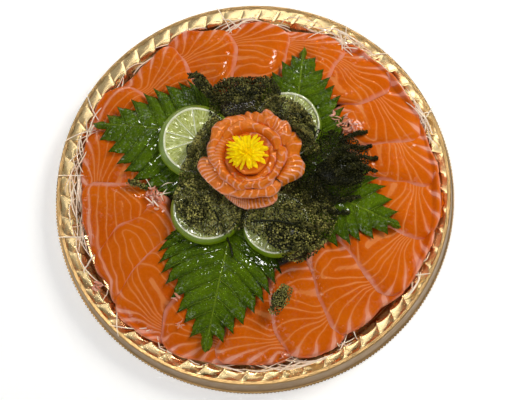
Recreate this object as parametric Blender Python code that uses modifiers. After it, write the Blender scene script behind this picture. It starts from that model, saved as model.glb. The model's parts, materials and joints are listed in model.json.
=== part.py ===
"""Round party tray of salmon sashimi, dressed with a salmon rose, lime, leaves and sea grapes.

Metres, +Z up.  The tray stands on Z = 0 with its centre on the Z axis.
"""
import math

import bmesh
import bpy
from mathutils import Matrix, Vector

OBJECT_NAME = "sashimi_plate"
GAP = 0.0004                       # clearance between neighbouring pieces

# The tray: a thin moulded shell with a fluted wall and a skirt that it stands on.
TRAY_RADIUS = 0.150                # outer edge of the foot flange
TRAY_HEIGHT = 0.018                # top of the lip
TRAY_SKIN = 0.0008                 # thickness of the shell
FLOOR_TOP = 0.004
FLOOR_RADIUS = 0.1325
WALL_FOOT = (0.1342, 0.0050)       # radius and height where the flutes begin
WALL_TOP = (0.1410, 0.0152)        # and where they end
LIP_RADIUS = 0.1436
LIP_WIDTH = 0.0010
LIP_DROP = 0.0006                  # fall of the lip towards the skirt
FLANGE_HEIGHT = 0.0009
FLANGE_WIDTH = 0.0018
FOOT_WIDTH = 0.0027                # the flat ring that the tray stands on
FLUTES = 60
FLUTE_DEPTH = 0.0007

# The ring of salmon slices, shingled clockwise.
RING_INNER = 0.074
RING_OUTER = 0.1295
RING_OFF_CENTRE = 0.0035           # the ring lies a little towards +X
RING_BASE_INNER = 0.0145           # lowest underside of the slices at the inner ends
RING_BASE_OUTER = 0.0075           # and at the outer ends
SLICE_THICKNESS = 0.0042
SLICE_SPAN = 27.0                  # degrees that one slice covers
SLICE_CLIMB = 0.000258             # rise per degree, so that each slice clears the next
SLICE_CORNER = 0.007               # how far the corners are rounded back
SLICE_BOW = 1.6                    # degrees that the long edges bow sideways
SEAM_ANGLES = (97, 75.5, 56, 36.5, 16.5, -1.5, -19.5, -39.5, -60, -81.5, -101.5, -121.5, -144.5, -162.5,
               -180.5, -202, -221, -242)
# Degrees that each visible edge swings from its inner to its outer end.
SEAM_LEANS = (0, 0, 0, -5, -3, -3, -1, -5, -5, 0, 0, 3, 6, 9, 0, 0, 0, 0)

# The bed of shredded radish below the salmon.
BED_RADIUS = 0.124
BED_BULGE = 0.0055                 # how far its tufts push out
BED_BULGE_SPREAD = 9.0             # degrees
BED_BULGE_ANGLES = (163, 94, 57, 22, -31, -76)
BED_CENTRE_TOP = 0.0165
BED_CENTRE_SLOPE = 0.022           # width of the slope up to the middle
BED_CLEARANCE = 0.0015

# Leaves: base point, heading in degrees, length and greatest half width.
LEAF_THICKNESS = 0.0009
LEAF_MARGIN = 0.0012
LEAF_FALL = 0.19                   # slope of a leaf from the ring down to the middle
LEAF_FOLD = 0.0012                 # how far the sides rise from the midrib
LEAF_TIP = 0.0012                  # half width of the tip
LEAF_TEETH = 5
LEAF_TOOTH = 0.10                  # depth of a tooth as a share of the width
LEAVES = (
    ((-0.033, 0.034), 170.0, 0.087, 0.040),
    ((0.030, 0.024), 84.0, 0.083, 0.030),
    ((0.036, -0.002), -26.0, 0.078, 0.030),
    ((-0.015, -0.037), -100.5, 0.087, 0.040),
)

# Lime slices: centre and radius; each leans down towards the rose.
LIME_THICKNESS = 0.0060
LIME_BULGE = 0.0012
LIME_LEAN = 8.0
LIMES = (
    ((-0.0395, 0.029), 0.0248),
    ((0.026, 0.040), 0.0245),
    ((-0.0315, -0.022), 0.0238),
    ((0.018, -0.0335), 0.0230),
)

# The rose of rolled salmon: ring by ring from the middle outwards.
ROSE_CENTRE = Vector((0.0, 0.012))
ROSE_BASE = 0.0300
PETAL_THICKNESS = 0.0018
CORE_RADIUS = 0.0105
CORE_TOP_RADIUS = 0.0120
CORE_TOP = 0.0440
# Each petal: heading, half span in degrees, base radius, lip radius, base height, lip height.
PETALS = (
    (30, 91.5, 0.0142, 0.0195, 0.0305, 0.0455),
    (210, 91.5, 0.0142, 0.0195, 0.0305, 0.0450),
    (80, 59, 0.0198, 0.0275, 0.0305, 0.0450),
    (200, 59, 0.0198, 0.0275, 0.0305, 0.0440),
    (320, 59, 0.0198, 0.0275, 0.0305, 0.0435),
    (135, 46, 0.0254, 0.0360, 0.0322, 0.0440),
    (60, 33, 0.0254, 0.0370, 0.0322, 0.0435),
    (0, 35, 0.0254, 0.0370, 0.0322, 0.0420),
    (245, 63, 0.0254, 0.0335, 0.0322, 0.0405),
    (270, 30, 0.0312, 0.0400, 0.0326, 0.0352),
)
PETAL_SPIRAL = 0.0014              # how far a petal's two ends stand in and out
PETAL_CORNER = 0.16                # how far its corners fall short

FLOWER_CENTRE = Vector((-0.002, 0.014))
FLOWER_RADIUS = 0.0150
FLOWER_BASE = 0.0444
FLOWER_RIM = 0.0466                # height of its widest part
FLOWER_TOP = 0.0530
FLOWER_LOBES = 12
FLOWER_LOBE_DEPTH = 0.07

# Sea grape heaps: centre, half length, half width, heading in degrees, height.
HEAP_MARGIN = 0.0015
HEAP_EDGE = 0.0010
HEAP_SEGMENTS = 16
HEAPS = (
    ((-0.036, 0.071), 0.014, 0.005, -50.0, 0.0045),
    ((-0.005, 0.066), 0.020, 0.008, 0.0, 0.0060),
    ((0.038, 0.041), 0.021, 0.009, -58.0, 0.0050),
    ((0.065, 0.005), 0.024, 0.018, 5.0, 0.0080),
    ((-0.041, 0.017), 0.013, 0.006, 110.0, 0.0045),
    ((-0.039, -0.023), 0.015, 0.015, 0.0, 0.0045),
    ((0.027, -0.044), 0.027, 0.014, -12.0, 0.0060),
    ((0.020, -0.086), 0.010, 0.007, 60.0, 0.0040),
)

# The scrap of salmon that leans on the tray's wall.
SCRAP_ANGLE = -7.0
SCRAP_LENGTH = 0.020
SCRAP_THICKNESS = 0.0018
SCRAP_FOOT = (0.1352, 0.0085)
SCRAP_TOP = (0.1395, 0.0165)
SCRAP_CORNER = 0.0015

COLOURS = {
    "gold": ((0.72, 0.56, 0.30, 1.0), 0.22, 1.0),
    "radish": ((0.86, 0.80, 0.72, 1.0), 0.35, 0.0),
    "salmon": ((0.86, 0.25, 0.03, 1.0), 0.30, 0.0),
    "leaf": ((0.05, 0.17, 0.02, 1.0), 0.40, 0.0),
    "lime": ((0.35, 0.48, 0.12, 1.0), 0.35, 0.0),
    "sea_grape": ((0.07, 0.10, 0.02, 1.0), 0.25, 0.0),
    "petal_yellow": ((0.95, 0.72, 0.02, 1.0), 0.50, 0.0),
}


def clear_scene():
    """Remove what a new file holds."""
    for thing in list(bpy.data.objects):
        bpy.data.objects.remove(thing, do_unlink=True)


def make_materials():
    """One Principled material for each kind of piece."""
    materials = {}
    for name, (colour, roughness, metallic) in COLOURS.items():
        material = bpy.data.materials.new(name)
        material.use_nodes = True
        shader = material.node_tree.nodes["Principled BSDF"]
        shader.inputs["Base Color"].default_value = colour
        shader.inputs["Roughness"].default_value = roughness
        shader.inputs["Metallic"].default_value = metallic
        materials[name] = material
    return materials


def add_object(name, mesh, material, collection, smooth_angle=35.0):
    """Put a mesh in the collection, shaded smooth below the given angle."""
    piece = bpy.data.objects.new(name, mesh)
    mesh.materials.clear()
    mesh.materials.append(material)
    mesh.shade_smooth()
    mesh.set_sharp_from_angle(angle=math.radians(smooth_angle))
    collection.objects.link(piece)
    return piece


def polar(radius, degrees, height=0.0):
    """A point at a radius and an angle about the Z axis."""
    angle = math.radians(degrees)
    return Vector((radius * math.cos(angle), radius * math.sin(angle), height))


def smooth_step(value):
    """0 to 1 with level ends."""
    value = min(max(value, 0.0), 1.0)
    return value * value * (3.0 - 2.0 * value)


def sheet(name, columns, rows, place, thickness, material, collection):
    """A thick sheet: place(u, v) gives its lower face, and thickness grows upwards from it."""
    bm = bmesh.new()
    bmesh.ops.create_grid(bm, x_segments=columns, y_segments=rows, size=1.0)
    for vert in bm.verts:
        vert.co = place((vert.co.x + 1.0) / 2.0, (vert.co.y + 1.0) / 2.0)
    mesh = bpy.data.meshes.new(name)
    bm.to_mesh(mesh)
    bm.free()
    piece = add_object(name, mesh, material, collection)
    solid = piece.modifiers.new("thickness", "SOLIDIFY")
    solid.thickness = thickness
    solid.offset = 1.0
    return piece


def mound(name, segments, rings, place, material, collection):
    """A closed lump from a sphere: place(angle, share, side) with side +1 top, 0 rim, -1 below."""
    bm = bmesh.new()
    bmesh.ops.create_uvsphere(bm, u_segments=segments, v_segments=rings, radius=1.0)
    for vert in bm.verts:
        share = math.hypot(vert.co.x, vert.co.y)
        angle = math.atan2(vert.co.y, vert.co.x)
        side = round(math.copysign(1.0, vert.co.z)) if abs(vert.co.z) > 0.01 else 0
        vert.co = place(angle, share, side)
    mesh = bpy.data.meshes.new(name)
    bm.to_mesh(mesh)
    bm.free()
    return add_object(name, mesh, material, collection)


# ---------------------------------------------------------------- tray

def tray_profile():
    """Half section of the tray as (radius, height, fluted), from the middle of the floor outwards."""
    skin = TRAY_SKIN
    return (
        (0.0, FLOOR_TOP, False),
        (FLOOR_RADIUS, FLOOR_TOP, False),
        (WALL_FOOT[0], WALL_FOOT[1], True),
        (WALL_TOP[0], WALL_TOP[1], True),
        (LIP_RADIUS, TRAY_HEIGHT, False),
        (LIP_RADIUS + LIP_WIDTH, TRAY_HEIGHT - LIP_DROP, False),
        (TRAY_RADIUS - FLANGE_WIDTH, FLANGE_HEIGHT * 1.3, False),
        (TRAY_RADIUS, FLANGE_HEIGHT, False),
        (TRAY_RADIUS, 0.0, False),
        (TRAY_RADIUS - FOOT_WIDTH, 0.0, False),
        (LIP_RADIUS + LIP_WIDTH - skin, TRAY_HEIGHT - LIP_DROP - skin, False),
        (WALL_TOP[0] + skin * 0.8, WALL_TOP[1] - skin * 0.6, True),
        (WALL_FOOT[0] + skin * 0.8, WALL_FOOT[1] - skin * 0.6, True),
        (FLOOR_RADIUS, FLOOR_TOP - skin, False),
        (0.0, FLOOR_TOP - skin, False),
    )


def make_tray(material, collection):
    """Turn the section into a plain dish, then press the flutes into its wall."""
    profile = tray_profile()
    outline = bpy.data.meshes.new("tray_section")
    points = [(radius, 0.0, height) for radius, height, _ in profile]
    edges = [(index, index + 1) for index in range(len(points) - 1)]
    outline.from_pydata(points, edges, [])
    blank = bpy.data.objects.new("tray_blank", outline)
    collection.objects.link(blank)
    turn = blank.modifiers.new("turn", "SCREW")
    turn.steps = FLUTES * 2
    turn.render_steps = FLUTES * 2
    turn.use_merge_vertices = True
    turn.merge_threshold = 0.00001
    bpy.context.view_layer.update()
    graph = bpy.context.evaluated_depsgraph_get()
    mesh = bpy.data.meshes.new_from_object(blank.evaluated_get(graph))
    mesh.name = "tray"
    bpy.data.objects.remove(blank, do_unlink=True)
    fluted = {(round(radius, 5), round(height, 5)) for radius, height, wavy in profile if wavy}
    for vert in mesh.vertices:
        radius = math.hypot(vert.co.x, vert.co.y)
        if (round(radius, 5), round(vert.co.z, 5)) in fluted:
            wave = math.cos(FLUTES * math.atan2(vert.co.y, vert.co.x))
            scale = 1.0 + FLUTE_DEPTH * wave / radius
            vert.co.x *= scale
            vert.co.y *= scale
    return add_object("tray", mesh, material, collection)


# ---------------------------------------------------------------- radish bed and salmon ring

def ring_base(radius):
    """Height of the lowest underside of the salmon ring at a radius."""
    share = (radius - RING_INNER) / (RING_OUTER - RING_INNER)
    return RING_BASE_INNER + (RING_BASE_OUTER - RING_BASE_INNER) * share


def make_bed(material, collection):
    """The radish bed: a low mound with tufts that push out between the slices and the wall."""
    def radius_at(angle):
        reach = BED_RADIUS
        for tuft in BED_BULGE_ANGLES:
            turn = (math.degrees(angle) - tuft + 180.0) % 360.0 - 180.0
            reach += BED_BULGE * math.exp(-(turn / BED_BULGE_SPREAD) ** 2)
        return reach

    def place(angle, share, side):
        radius = radius_at(angle) * share
        rise = smooth_step((RING_INNER - radius) / BED_CENTRE_SLOPE)
        below_ring = ring_base(radius) - BED_CLEARANCE
        top = min(below_ring, below_ring * (1.0 - rise) + BED_CENTRE_TOP * rise)
        bottom = FLOOR_TOP + GAP
        height = {-1: bottom, 0: (bottom + top) / 2.0, 1: top}[side]
        return Vector((radius * math.cos(angle), radius * math.sin(angle), height))

    return mound("daikon_bed", 32, 8, place, material, collection)


def make_slice(number, seam, lean, material, collection):
    """One salmon slice: its visible edge is on the seam, its other end is under its neighbour."""
    middle = seam + SLICE_SPAN / 2.0
    shift = RING_OFF_CENTRE * math.cos(math.radians(middle))

    def place(u, v):
        corner = SLICE_CORNER * abs(2.0 * u - 1.0) ** 5
        inner = RING_INNER + corner
        outer = RING_OUTER + shift - corner
        radius = inner + (outer - inner) * v
        turn = SLICE_SPAN * (1.0 - u) - SLICE_BOW * math.sin(math.pi * v) + lean * u * (v - 0.5)
        height = ring_base(radius) + SLICE_CLIMB * (SLICE_SPAN - SLICE_BOW - turn)
        return polar(radius, seam + turn, height)

    name = "salmon_slice_%02d" % number
    return sheet(name, 5, 4, place, SLICE_THICKNESS, material, collection)


def cover_height(x, y):
    """Height that clears the salmon ring outside and slopes down to the bed inside."""
    radius = math.hypot(x, y)
    top = RING_INNER + 0.002
    over_ring = SLICE_CLIMB * SLICE_SPAN + SLICE_THICKNESS + LEAF_MARGIN
    if radius >= top:
        return ring_base(radius) + over_ring
    return ring_base(top) + over_ring - LEAF_FALL * (top - radius)


def make_leaf(number, leaf, material, collection):
    """A broad toothed leaf that drapes from the ring down under the limes."""
    (base_x, base_y), heading, length, half_width = leaf
    turn = Matrix.Rotation(math.radians(heading), 2)

    def place(u, v):
        along = length * u
        belly = math.sin(math.pi * min(u ** 0.72, 1.0)) ** 0.8
        tooth = 1.0 + LEAF_TOOTH * math.cos(math.pi * round(u * 2 * LEAF_TEETH))
        across = (2.0 * v - 1.0) * (half_width * belly * tooth + LEAF_TIP)
        spot = turn @ Vector((along, across))
        x = base_x + spot.x
        y = base_y + spot.y
        fold = LEAF_FOLD * abs(2.0 * v - 1.0)
        return Vector((x, y, cover_height(x, y) + fold))

    return sheet("shiso_leaf_%d" % number, 2 * LEAF_TEETH, 4, place, LEAF_THICKNESS, material,
                 collection)


# ---------------------------------------------------------------- limes

def lime_frames():
    """Centre and unit normal of each lime slice, each laid on what is already there."""
    frames = []
    for (x, y), radius in LIMES:
        lean = (ROSE_CENTRE - Vector((x, y))).normalized() * math.sin(math.radians(LIME_LEAN))
        normal = Vector((lean.x, lean.y, math.cos(math.radians(LIME_LEAN))))
        lift = 0.0
        for step in range(24):
            for share in (0.25, 0.5, 0.75, 1.0):
                spot = polar(radius * share, step * 15.0)
                fall = -(normal.x * spot.x + normal.y * spot.y) / normal.z
                lift = max(lift, support_height(x + spot.x, y + spot.y, frames, 0.0) - fall)
        centre = Vector((x, y, lift + LIME_THICKNESS / 2.0 + 2.0 * GAP))
        frames.append((centre, normal, radius))
    return frames


def support_height(x, y, frames, margin):
    """Top of the leaves, and of the limes laid so far with a margin round them, at one place."""
    height = cover_height(x, y) + LEAF_THICKNESS + LEAF_FOLD
    for centre, normal, radius in frames:
        if math.hypot(x - centre.x, y - centre.y) < radius + LIME_BULGE + margin:
            face = centre + normal * (LIME_THICKNESS / 2.0 + GAP)
            slope = -(normal.x * (x - face.x) + normal.y * (y - face.y)) / normal.z
            height = max(height, face.z + slope)
    return height


def make_lime(number, frame, material, collection):
    """A lime slice: a disc whose side bulges like the fruit."""
    centre, normal, radius = frame
    bm = bmesh.new()
    bmesh.ops.create_cone(bm, cap_ends=True, segments=24, radius1=radius, radius2=radius,
                          depth=LIME_THICKNESS)
    sides = [edge for edge in bm.edges if abs(edge.verts[0].co.z - edge.verts[1].co.z) > 0.001]
    bmesh.ops.subdivide_edges(bm, edges=sides, cuts=1)
    for vert in bm.verts:
        if abs(vert.co.z) < 0.0001:
            vert.co.x *= 1.0 + LIME_BULGE / radius
            vert.co.y *= 1.0 + LIME_BULGE / radius
    mesh = bpy.data.meshes.new("lime")
    bm.to_mesh(mesh)
    bm.free()
    piece = add_object("lime_slice_%d" % number, mesh, material, collection)
    piece.location = centre
    piece.rotation_mode = "QUATERNION"
    piece.rotation_quaternion = normal.to_track_quat("Z", "Y")
    return piece


# ---------------------------------------------------------------- rose

def make_petal(number, petal, material, collection):
    """A rolled slice of the rose: it rises from the middle and its lip rolls outwards."""
    heading, half_span, base_radius, lip_radius, base, lip = petal

    def place(u, v):
        side = 2.0 * u - 1.0
        corner = 1.0 - PETAL_CORNER * abs(side) ** 4
        radius = base_radius + (lip_radius - base_radius) * (v * corner) ** 1.6
        radius += PETAL_SPIRAL * side
        height = base + (lip - base) * math.sin(math.pi / 2.0 * v * corner)
        spot = polar(radius, heading + half_span * side, height)
        return spot + ROSE_CENTRE.to_3d()

    return sheet("rose_petal_%02d" % number, 7, 3, place, PETAL_THICKNESS, material, collection)


def make_core(material, collection):
    """The rolled slice in the middle of the rose."""
    bm = bmesh.new()
    bottom = BED_CENTRE_TOP + GAP
    bmesh.ops.create_cone(bm, cap_ends=True, segments=16, radius1=CORE_RADIUS,
                          radius2=CORE_TOP_RADIUS, depth=CORE_TOP - bottom)
    mesh = bpy.data.meshes.new("rose_core")
    bm.to_mesh(mesh)
    bm.free()
    piece = add_object("rose_core", mesh, material, collection)
    piece.location = (ROSE_CENTRE.x, ROSE_CENTRE.y, (CORE_TOP + bottom) / 2.0)
    return piece


def make_flower(material, collection):
    """The yellow flower: a shallow dome with a lobed edge."""
    def place(angle, share, side):
        lobe = 1.0 + FLOWER_LOBE_DEPTH * share * math.cos(FLOWER_LOBES * angle)
        radius = FLOWER_RADIUS * share * lobe
        dome = math.sqrt(max(0.0, 1.0 - share * share))
        height = FLOWER_RIM
        if side > 0:
            height += (FLOWER_TOP - FLOWER_RIM) * dome
        if side < 0:
            height -= (FLOWER_RIM - FLOWER_BASE) * min(1.0, dome * 1.6)
        return Vector((FLOWER_CENTRE.x + radius * math.cos(angle),
                       FLOWER_CENTRE.y + radius * math.sin(angle), height))

    return mound("chrysanthemum", 2 * FLOWER_LOBES, 6, place, material, collection)


# ---------------------------------------------------------------- sea grapes and scrap

def make_heap(number, heap, frames, material, collection):
    """A heap of sea grapes laid over the leaves and limes, with an uneven outline."""
    (centre_x, centre_y), half_length, half_width, heading, tall = heap
    turn = Matrix.Rotation(math.radians(heading), 2)
    reach = 2.0 * math.pi * half_length / HEAP_SEGMENTS

    def ground(x, y):
        around = [support_height(x + reach * dx, y + reach * dy, frames, HEAP_MARGIN)
                  for dx in (-1, 0, 1) for dy in (-1, 0, 1)]
        return max(around)

    def place(angle, share, side):
        uneven = 1.0 + 0.10 * math.sin(3.0 * angle + number) + 0.07 * math.sin(5.0 * angle)
        local = Vector((half_length * math.cos(angle), half_width * math.sin(angle)))
        spot = turn @ (local * share * uneven)
        x = centre_x + spot.x
        y = centre_y + spot.y
        height = ground(x, y) + GAP
        if side >= 0:
            height += HEAP_EDGE + tall * (1.0 - share ** 2.5)
        return Vector((x, y, height))

    return mound("sea_grapes_%d" % number, HEAP_SEGMENTS, 6, place, material, collection)


def make_scrap(material, collection):
    """A small thin piece of salmon that leans on the wall of the tray."""
    half_angle = math.degrees(SCRAP_LENGTH / 2.0 / SCRAP_TOP[0])

    def place(u, v):
        radius = SCRAP_TOP[0] + (SCRAP_FOOT[0] - SCRAP_TOP[0]) * v
        height = SCRAP_TOP[1] + (SCRAP_FOOT[1] - SCRAP_TOP[1]) * v
        height -= SCRAP_CORNER * abs(2.0 * u - 1.0) ** 3 * (1.0 - v)
        return polar(radius, SCRAP_ANGLE + half_angle * (2.0 * u - 1.0), height)

    return sheet("salmon_scrap", 4, 2, place, SCRAP_THICKNESS, material, collection)


def main():
    clear_scene()
    collection = bpy.data.collections.new(OBJECT_NAME)
    bpy.context.scene.collection.children.link(collection)
    materials = make_materials()
    make_tray(materials["gold"], collection)
    make_bed(materials["radish"], collection)
    for number, (seam, lean) in enumerate(zip(SEAM_ANGLES, SEAM_LEANS), start=1):
        make_slice(number, seam, lean, materials["salmon"], collection)
    make_scrap(materials["salmon"], collection)
    for number, leaf in enumerate(LEAVES, start=1):
        make_leaf(number, leaf, materials["leaf"], collection)
    frames = lime_frames()
    for number, frame in enumerate(frames, start=1):
        make_lime(number, frame, materials["lime"], collection)
    make_core(materials["salmon"], collection)
    for number, petal in enumerate(PETALS, start=1):
        make_petal(number, petal, materials["salmon"], collection)
    make_flower(materials["petal_yellow"], collection)
    for number, heap in enumerate(HEAPS, start=1):
        make_heap(number, heap, frames, materials["sea_grape"], collection)


main()
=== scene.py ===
"""Salmon sashimi plate: the detailed pieces and finishes, built round its fixed frame.

Every piece takes its place from the frame's own nodes.  Lengths are in metres, and where a
table holds millimetres, its comment says so.
"""
import json
import math

import bmesh
import bpy
import numpy as np
from bpy.props import FloatProperty, FloatVectorProperty, IntProperty, PointerProperty
from mathutils import Matrix, Vector
from mathutils.bvhtree import BVHTree

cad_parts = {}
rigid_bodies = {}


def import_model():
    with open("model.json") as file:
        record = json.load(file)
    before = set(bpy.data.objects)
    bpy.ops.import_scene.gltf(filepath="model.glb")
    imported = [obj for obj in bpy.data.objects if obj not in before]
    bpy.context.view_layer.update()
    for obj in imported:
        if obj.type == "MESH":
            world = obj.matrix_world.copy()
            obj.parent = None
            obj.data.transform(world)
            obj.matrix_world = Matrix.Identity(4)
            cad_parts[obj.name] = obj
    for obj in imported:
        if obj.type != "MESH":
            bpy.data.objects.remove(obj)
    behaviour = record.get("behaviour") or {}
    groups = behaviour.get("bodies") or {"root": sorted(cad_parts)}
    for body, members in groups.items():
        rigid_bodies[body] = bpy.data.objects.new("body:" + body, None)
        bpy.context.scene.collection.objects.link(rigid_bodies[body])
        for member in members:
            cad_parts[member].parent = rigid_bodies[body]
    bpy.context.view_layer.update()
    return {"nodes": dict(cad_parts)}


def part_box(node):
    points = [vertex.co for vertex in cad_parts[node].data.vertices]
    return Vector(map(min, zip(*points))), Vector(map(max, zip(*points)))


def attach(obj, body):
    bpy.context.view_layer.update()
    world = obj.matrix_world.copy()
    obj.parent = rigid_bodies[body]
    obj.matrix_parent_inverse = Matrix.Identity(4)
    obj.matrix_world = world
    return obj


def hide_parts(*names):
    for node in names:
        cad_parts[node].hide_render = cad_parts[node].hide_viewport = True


bl_info = {
    "name": "Sashimi Plate",
    "version": (1, 0, 0),
    "blender": (4, 5, 0),
    "location": "3D View > Sidebar > Sashimi Plate",
    "description": "Builds the pieces of a salmon sashimi plate round its frame",
    "category": "Object",
}

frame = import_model()

MM = 0.001
SLICES = 18
LEAVES = 4
LIMES = 4
PETALS = 10
HEAPS = 8


def node_points(name):
    """The vertices of a frame node as rows of x, y, z."""
    mesh = frame["nodes"][name].data
    spots = np.zeros(len(mesh.vertices) * 3)
    mesh.vertices.foreach_get("co", spots)
    return spots.reshape(-1, 3)


def node_centre(name):
    """The middle of a frame node's box."""
    low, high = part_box(name)
    return np.array((low + high) / 2.0)


def search_tree(objects):
    """A search tree over the faces of some objects."""
    points, faces = [], []
    for mesh in (thing.data for thing in objects):
        faces += [[len(points) + i for i in face.vertices] for face in mesh.polygons]
        points += [vert.co.copy() for vert in mesh.vertices]
    return BVHTree.FromPolygons(points, faces)


def node_tree(*names):
    """A search tree over some frame nodes."""
    return search_tree([frame["nodes"][name] for name in names])


def piece_tree(start_of_name):
    """A search tree over all the pieces whose names start alike."""
    pieces = [piece for piece in bpy.data.objects if piece.name.startswith(start_of_name)]
    if not pieces:
        raise RuntimeError("Nothing is called %s yet" % start_of_name)
    return search_tree(pieces)


def surface(tree, x, y):
    """Where a ray that falls on a plan point meets a search tree, or None."""
    return tree.ray_cast(Vector((x, y, ABOVE_ALL)), Vector((0, 0, -1)))[0]


TRAY_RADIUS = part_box("tray")[1].x
ROSE_MIDDLE = node_centre("rose_core")[:2]
ABOVE_ALL = 0.1  # a height over the whole plate, from which rays fall
MM_PER_CM = 10.0  # the maps of a mesh hold lengths in centimetres


# ---------------- number helpers

def srgb(red, green, blue):
    """A colour given as 0 to 255 display values, as linear values."""
    shares = [value / 255.0 for value in (red, green, blue)]
    return tuple(s / 12.92 if s <= 0.04045 else ((s + 0.055) / 1.055) ** 2.4 for s in shares)


def ramp(value, start, stop):
    """0 at start, 1 at stop, with level ends."""
    share = np.clip((value - start) / (stop - start), 0.0, 1.0)
    return share * share * (3.0 - 2.0 * share)


def drift(seed, size, *places):
    """Smooth random values, about -1 to 1, that change over the given size."""
    random = np.random.default_rng(seed)
    total = 0.0
    for _ in range(7):
        way = random.normal(size=len(places))
        way /= np.linalg.norm(way)
        rate = 2.0 * math.pi / size * random.uniform(0.55, 1.45)
        shift = random.uniform(0.0, 2.0 * math.pi)
        total = total + np.sin(rate * sum(w * p for w, p in zip(way, places)) + shift)
    return total / 3.0


def rounded(knots, steps=8):
    """A smooth path through some points."""
    knots = np.asarray(knots, float)
    ends = np.vstack([2 * knots[0] - knots[1], knots, 2 * knots[-1] - knots[-2]])
    path = []
    for index in range(len(knots) - 1):
        a, b, c, d = ends[index:index + 4]
        for t in np.linspace(0.0, 1.0, steps, endpoint=False):
            path.append(0.5 * (2 * b + (c - a) * t + (2 * a - 5 * b + 4 * c - d) * t * t
                               + (3 * b - a - 3 * c + d) * t ** 3))
    path.append(knots[-1])
    return np.array(path)


def circle(count):
    """Angles of evenly spaced places round a circle."""
    return 2.0 * math.pi * np.arange(count) / count


def polar(radius, angle, height):
    """Points from radii, angles and heights."""
    return np.stack([radius * np.cos(angle), radius * np.sin(angle), height], -1)


def smoothed(values, rounds):
    """Values evened out along their first axis, with the two ends kept."""
    values = values.copy()
    for _ in range(rounds):
        values[1:-1] = (values[:-2] + 2.0 * values[1:-1] + values[2:]) / 4.0
    return values


# ---------------- mesh helpers

def lattice(columns, rows, crowd=0.0):
    """u and v of a grid of points, row by row, crowded towards the borders."""
    def line(count):
        share = np.linspace(0.0, 1.0, count + 1)
        return share - crowd * np.sin(2.0 * math.pi * share) / (2.0 * math.pi)
    u, v = np.meshgrid(line(columns), line(rows))
    return u.ravel(), v.ravel()


def quads(index):
    """Faces between the points of an index grid."""
    return np.stack([index[:-1, :-1], index[:-1, 1:], index[1:, 1:], index[1:, :-1]],
                    axis=-1).reshape(-1, 4)


def capped_tube(rows, columns, flip=False):
    """Faces between rings of points, with both ends filled; flip turns them over."""
    index = np.arange(rows * columns).reshape(rows, columns)
    faces = quads(np.hstack([index, index[:, :1]])).tolist()
    faces += [index[0][::-1].tolist(), index[-1].tolist()]
    return [face[::-1] for face in faces] if flip else faces


def closed_sheet(upper, lower, columns, rows):
    """Points, faces and source of each point of a sheet whose two skins share an outline."""
    count = (columns + 1) * (rows + 1)
    index = np.arange(count).reshape(rows + 1, columns + 1)
    below = index.copy()
    inside = index[1:-1, 1:-1].ravel()
    below[1:-1, 1:-1] = (count + np.arange(len(inside))).reshape(rows - 1, columns - 1)
    points = np.vstack([upper, lower[inside]])
    faces = np.vstack([quads(index), quads(below)[:, ::-1]])
    return points, faces, np.concatenate([np.arange(count), inside])


def new_piece(name, points, faces, materials, maps=None, slots=None, sharp=None):
    """A mesh object, shaded smooth.  maps holds UV values for each point."""
    mesh = bpy.data.meshes.new(name)
    mesh.from_pydata(np.asarray(points).tolist(), [],
                     faces.tolist() if isinstance(faces, np.ndarray) else faces)
    corners = np.zeros(len(mesh.loops), int)
    mesh.loops.foreach_get("vertex_index", corners)
    for key, values in (maps or {}).items():
        layer = mesh.uv_layers.new(name=key)
        layer.uv.foreach_set("vector", np.asarray(values, np.float32)[corners].ravel())
    for material in materials:
        mesh.materials.append(material)
    if slots is not None:
        mesh.polygons.foreach_set("material_index", np.asarray(slots, np.int32))
    mesh.shade_smooth()
    if sharp:
        mesh.set_sharp_from_angle(angle=math.radians(sharp))
    mesh.validate()
    piece = bpy.data.objects.new(name, mesh)
    bpy.context.scene.collection.objects.link(piece)
    return piece


def turn_outwards(piece, weld=False):
    """Turn all faces outwards, and first weld points that coincide if asked to."""
    bm = bmesh.new()
    bm.from_mesh(piece.data)
    if weld:
        bmesh.ops.remove_doubles(bm, verts=bm.verts, dist=1e-6)
    bmesh.ops.recalc_face_normals(bm, faces=bm.faces)
    bm.to_mesh(piece.data)
    bm.free()


def settle(piece, slot, *nodes):
    """The piece rides with the plate, and stands for frame nodes."""
    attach(piece, "root")
    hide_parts(*nodes)


class Heap:
    """Points, faces and maps of many small things, joined into one piece."""

    def __init__(self):
        self.points, self.faces, self.tones = [], [], []
        self.count = 0

    def add(self, points, faces, tones):
        """Take one more thing in, or many at once."""
        self.points.append(points)
        self.faces += (np.asarray(faces) + self.count).tolist() if isinstance(
            faces, np.ndarray) else [[self.count + i for i in face] for face in faces]
        self.tones.append(np.broadcast_to(tones, (len(points), 2)))
        self.count += len(points)

    def piece(self, name, materials):
        """The joined piece."""
        return new_piece(name, np.vstack(self.points), self.faces, materials,
                         {"Tone": np.vstack(self.tones)})


def tubes(paths, radii, sides):
    """Points and faces of closed round tubes along paths shaped (number, steps, 3)."""
    number, steps, _ = paths.shape
    along = np.gradient(paths, axis=1)
    along /= np.linalg.norm(along, axis=2, keepdims=True) + 1e-12
    across = np.cross(along, (0.013, 0.021, 1.0))
    across /= np.linalg.norm(across, axis=2, keepdims=True) + 1e-12
    over = np.cross(across, along)
    points = []
    for side in range(sides):
        angle = 2.0 * math.pi * side / sides
        points.append(paths + radii[..., None] * (across * math.cos(angle)
                                                  + over * math.sin(angle)))
    points = np.stack(points, axis=2).reshape(-1, 3)
    index = np.arange(number * steps * sides).reshape(number, steps, sides)
    ring = np.roll(index, -1, axis=2)
    walls = np.stack([index[:, :-1], ring[:, :-1], ring[:, 1:], index[:, 1:]], -1)
    faces = walls.reshape(-1, 4).tolist()
    for tube in index:
        faces.append(tube[0][::-1].tolist())
        faces.append(tube[-1].tolist())
    return points, faces


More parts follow.
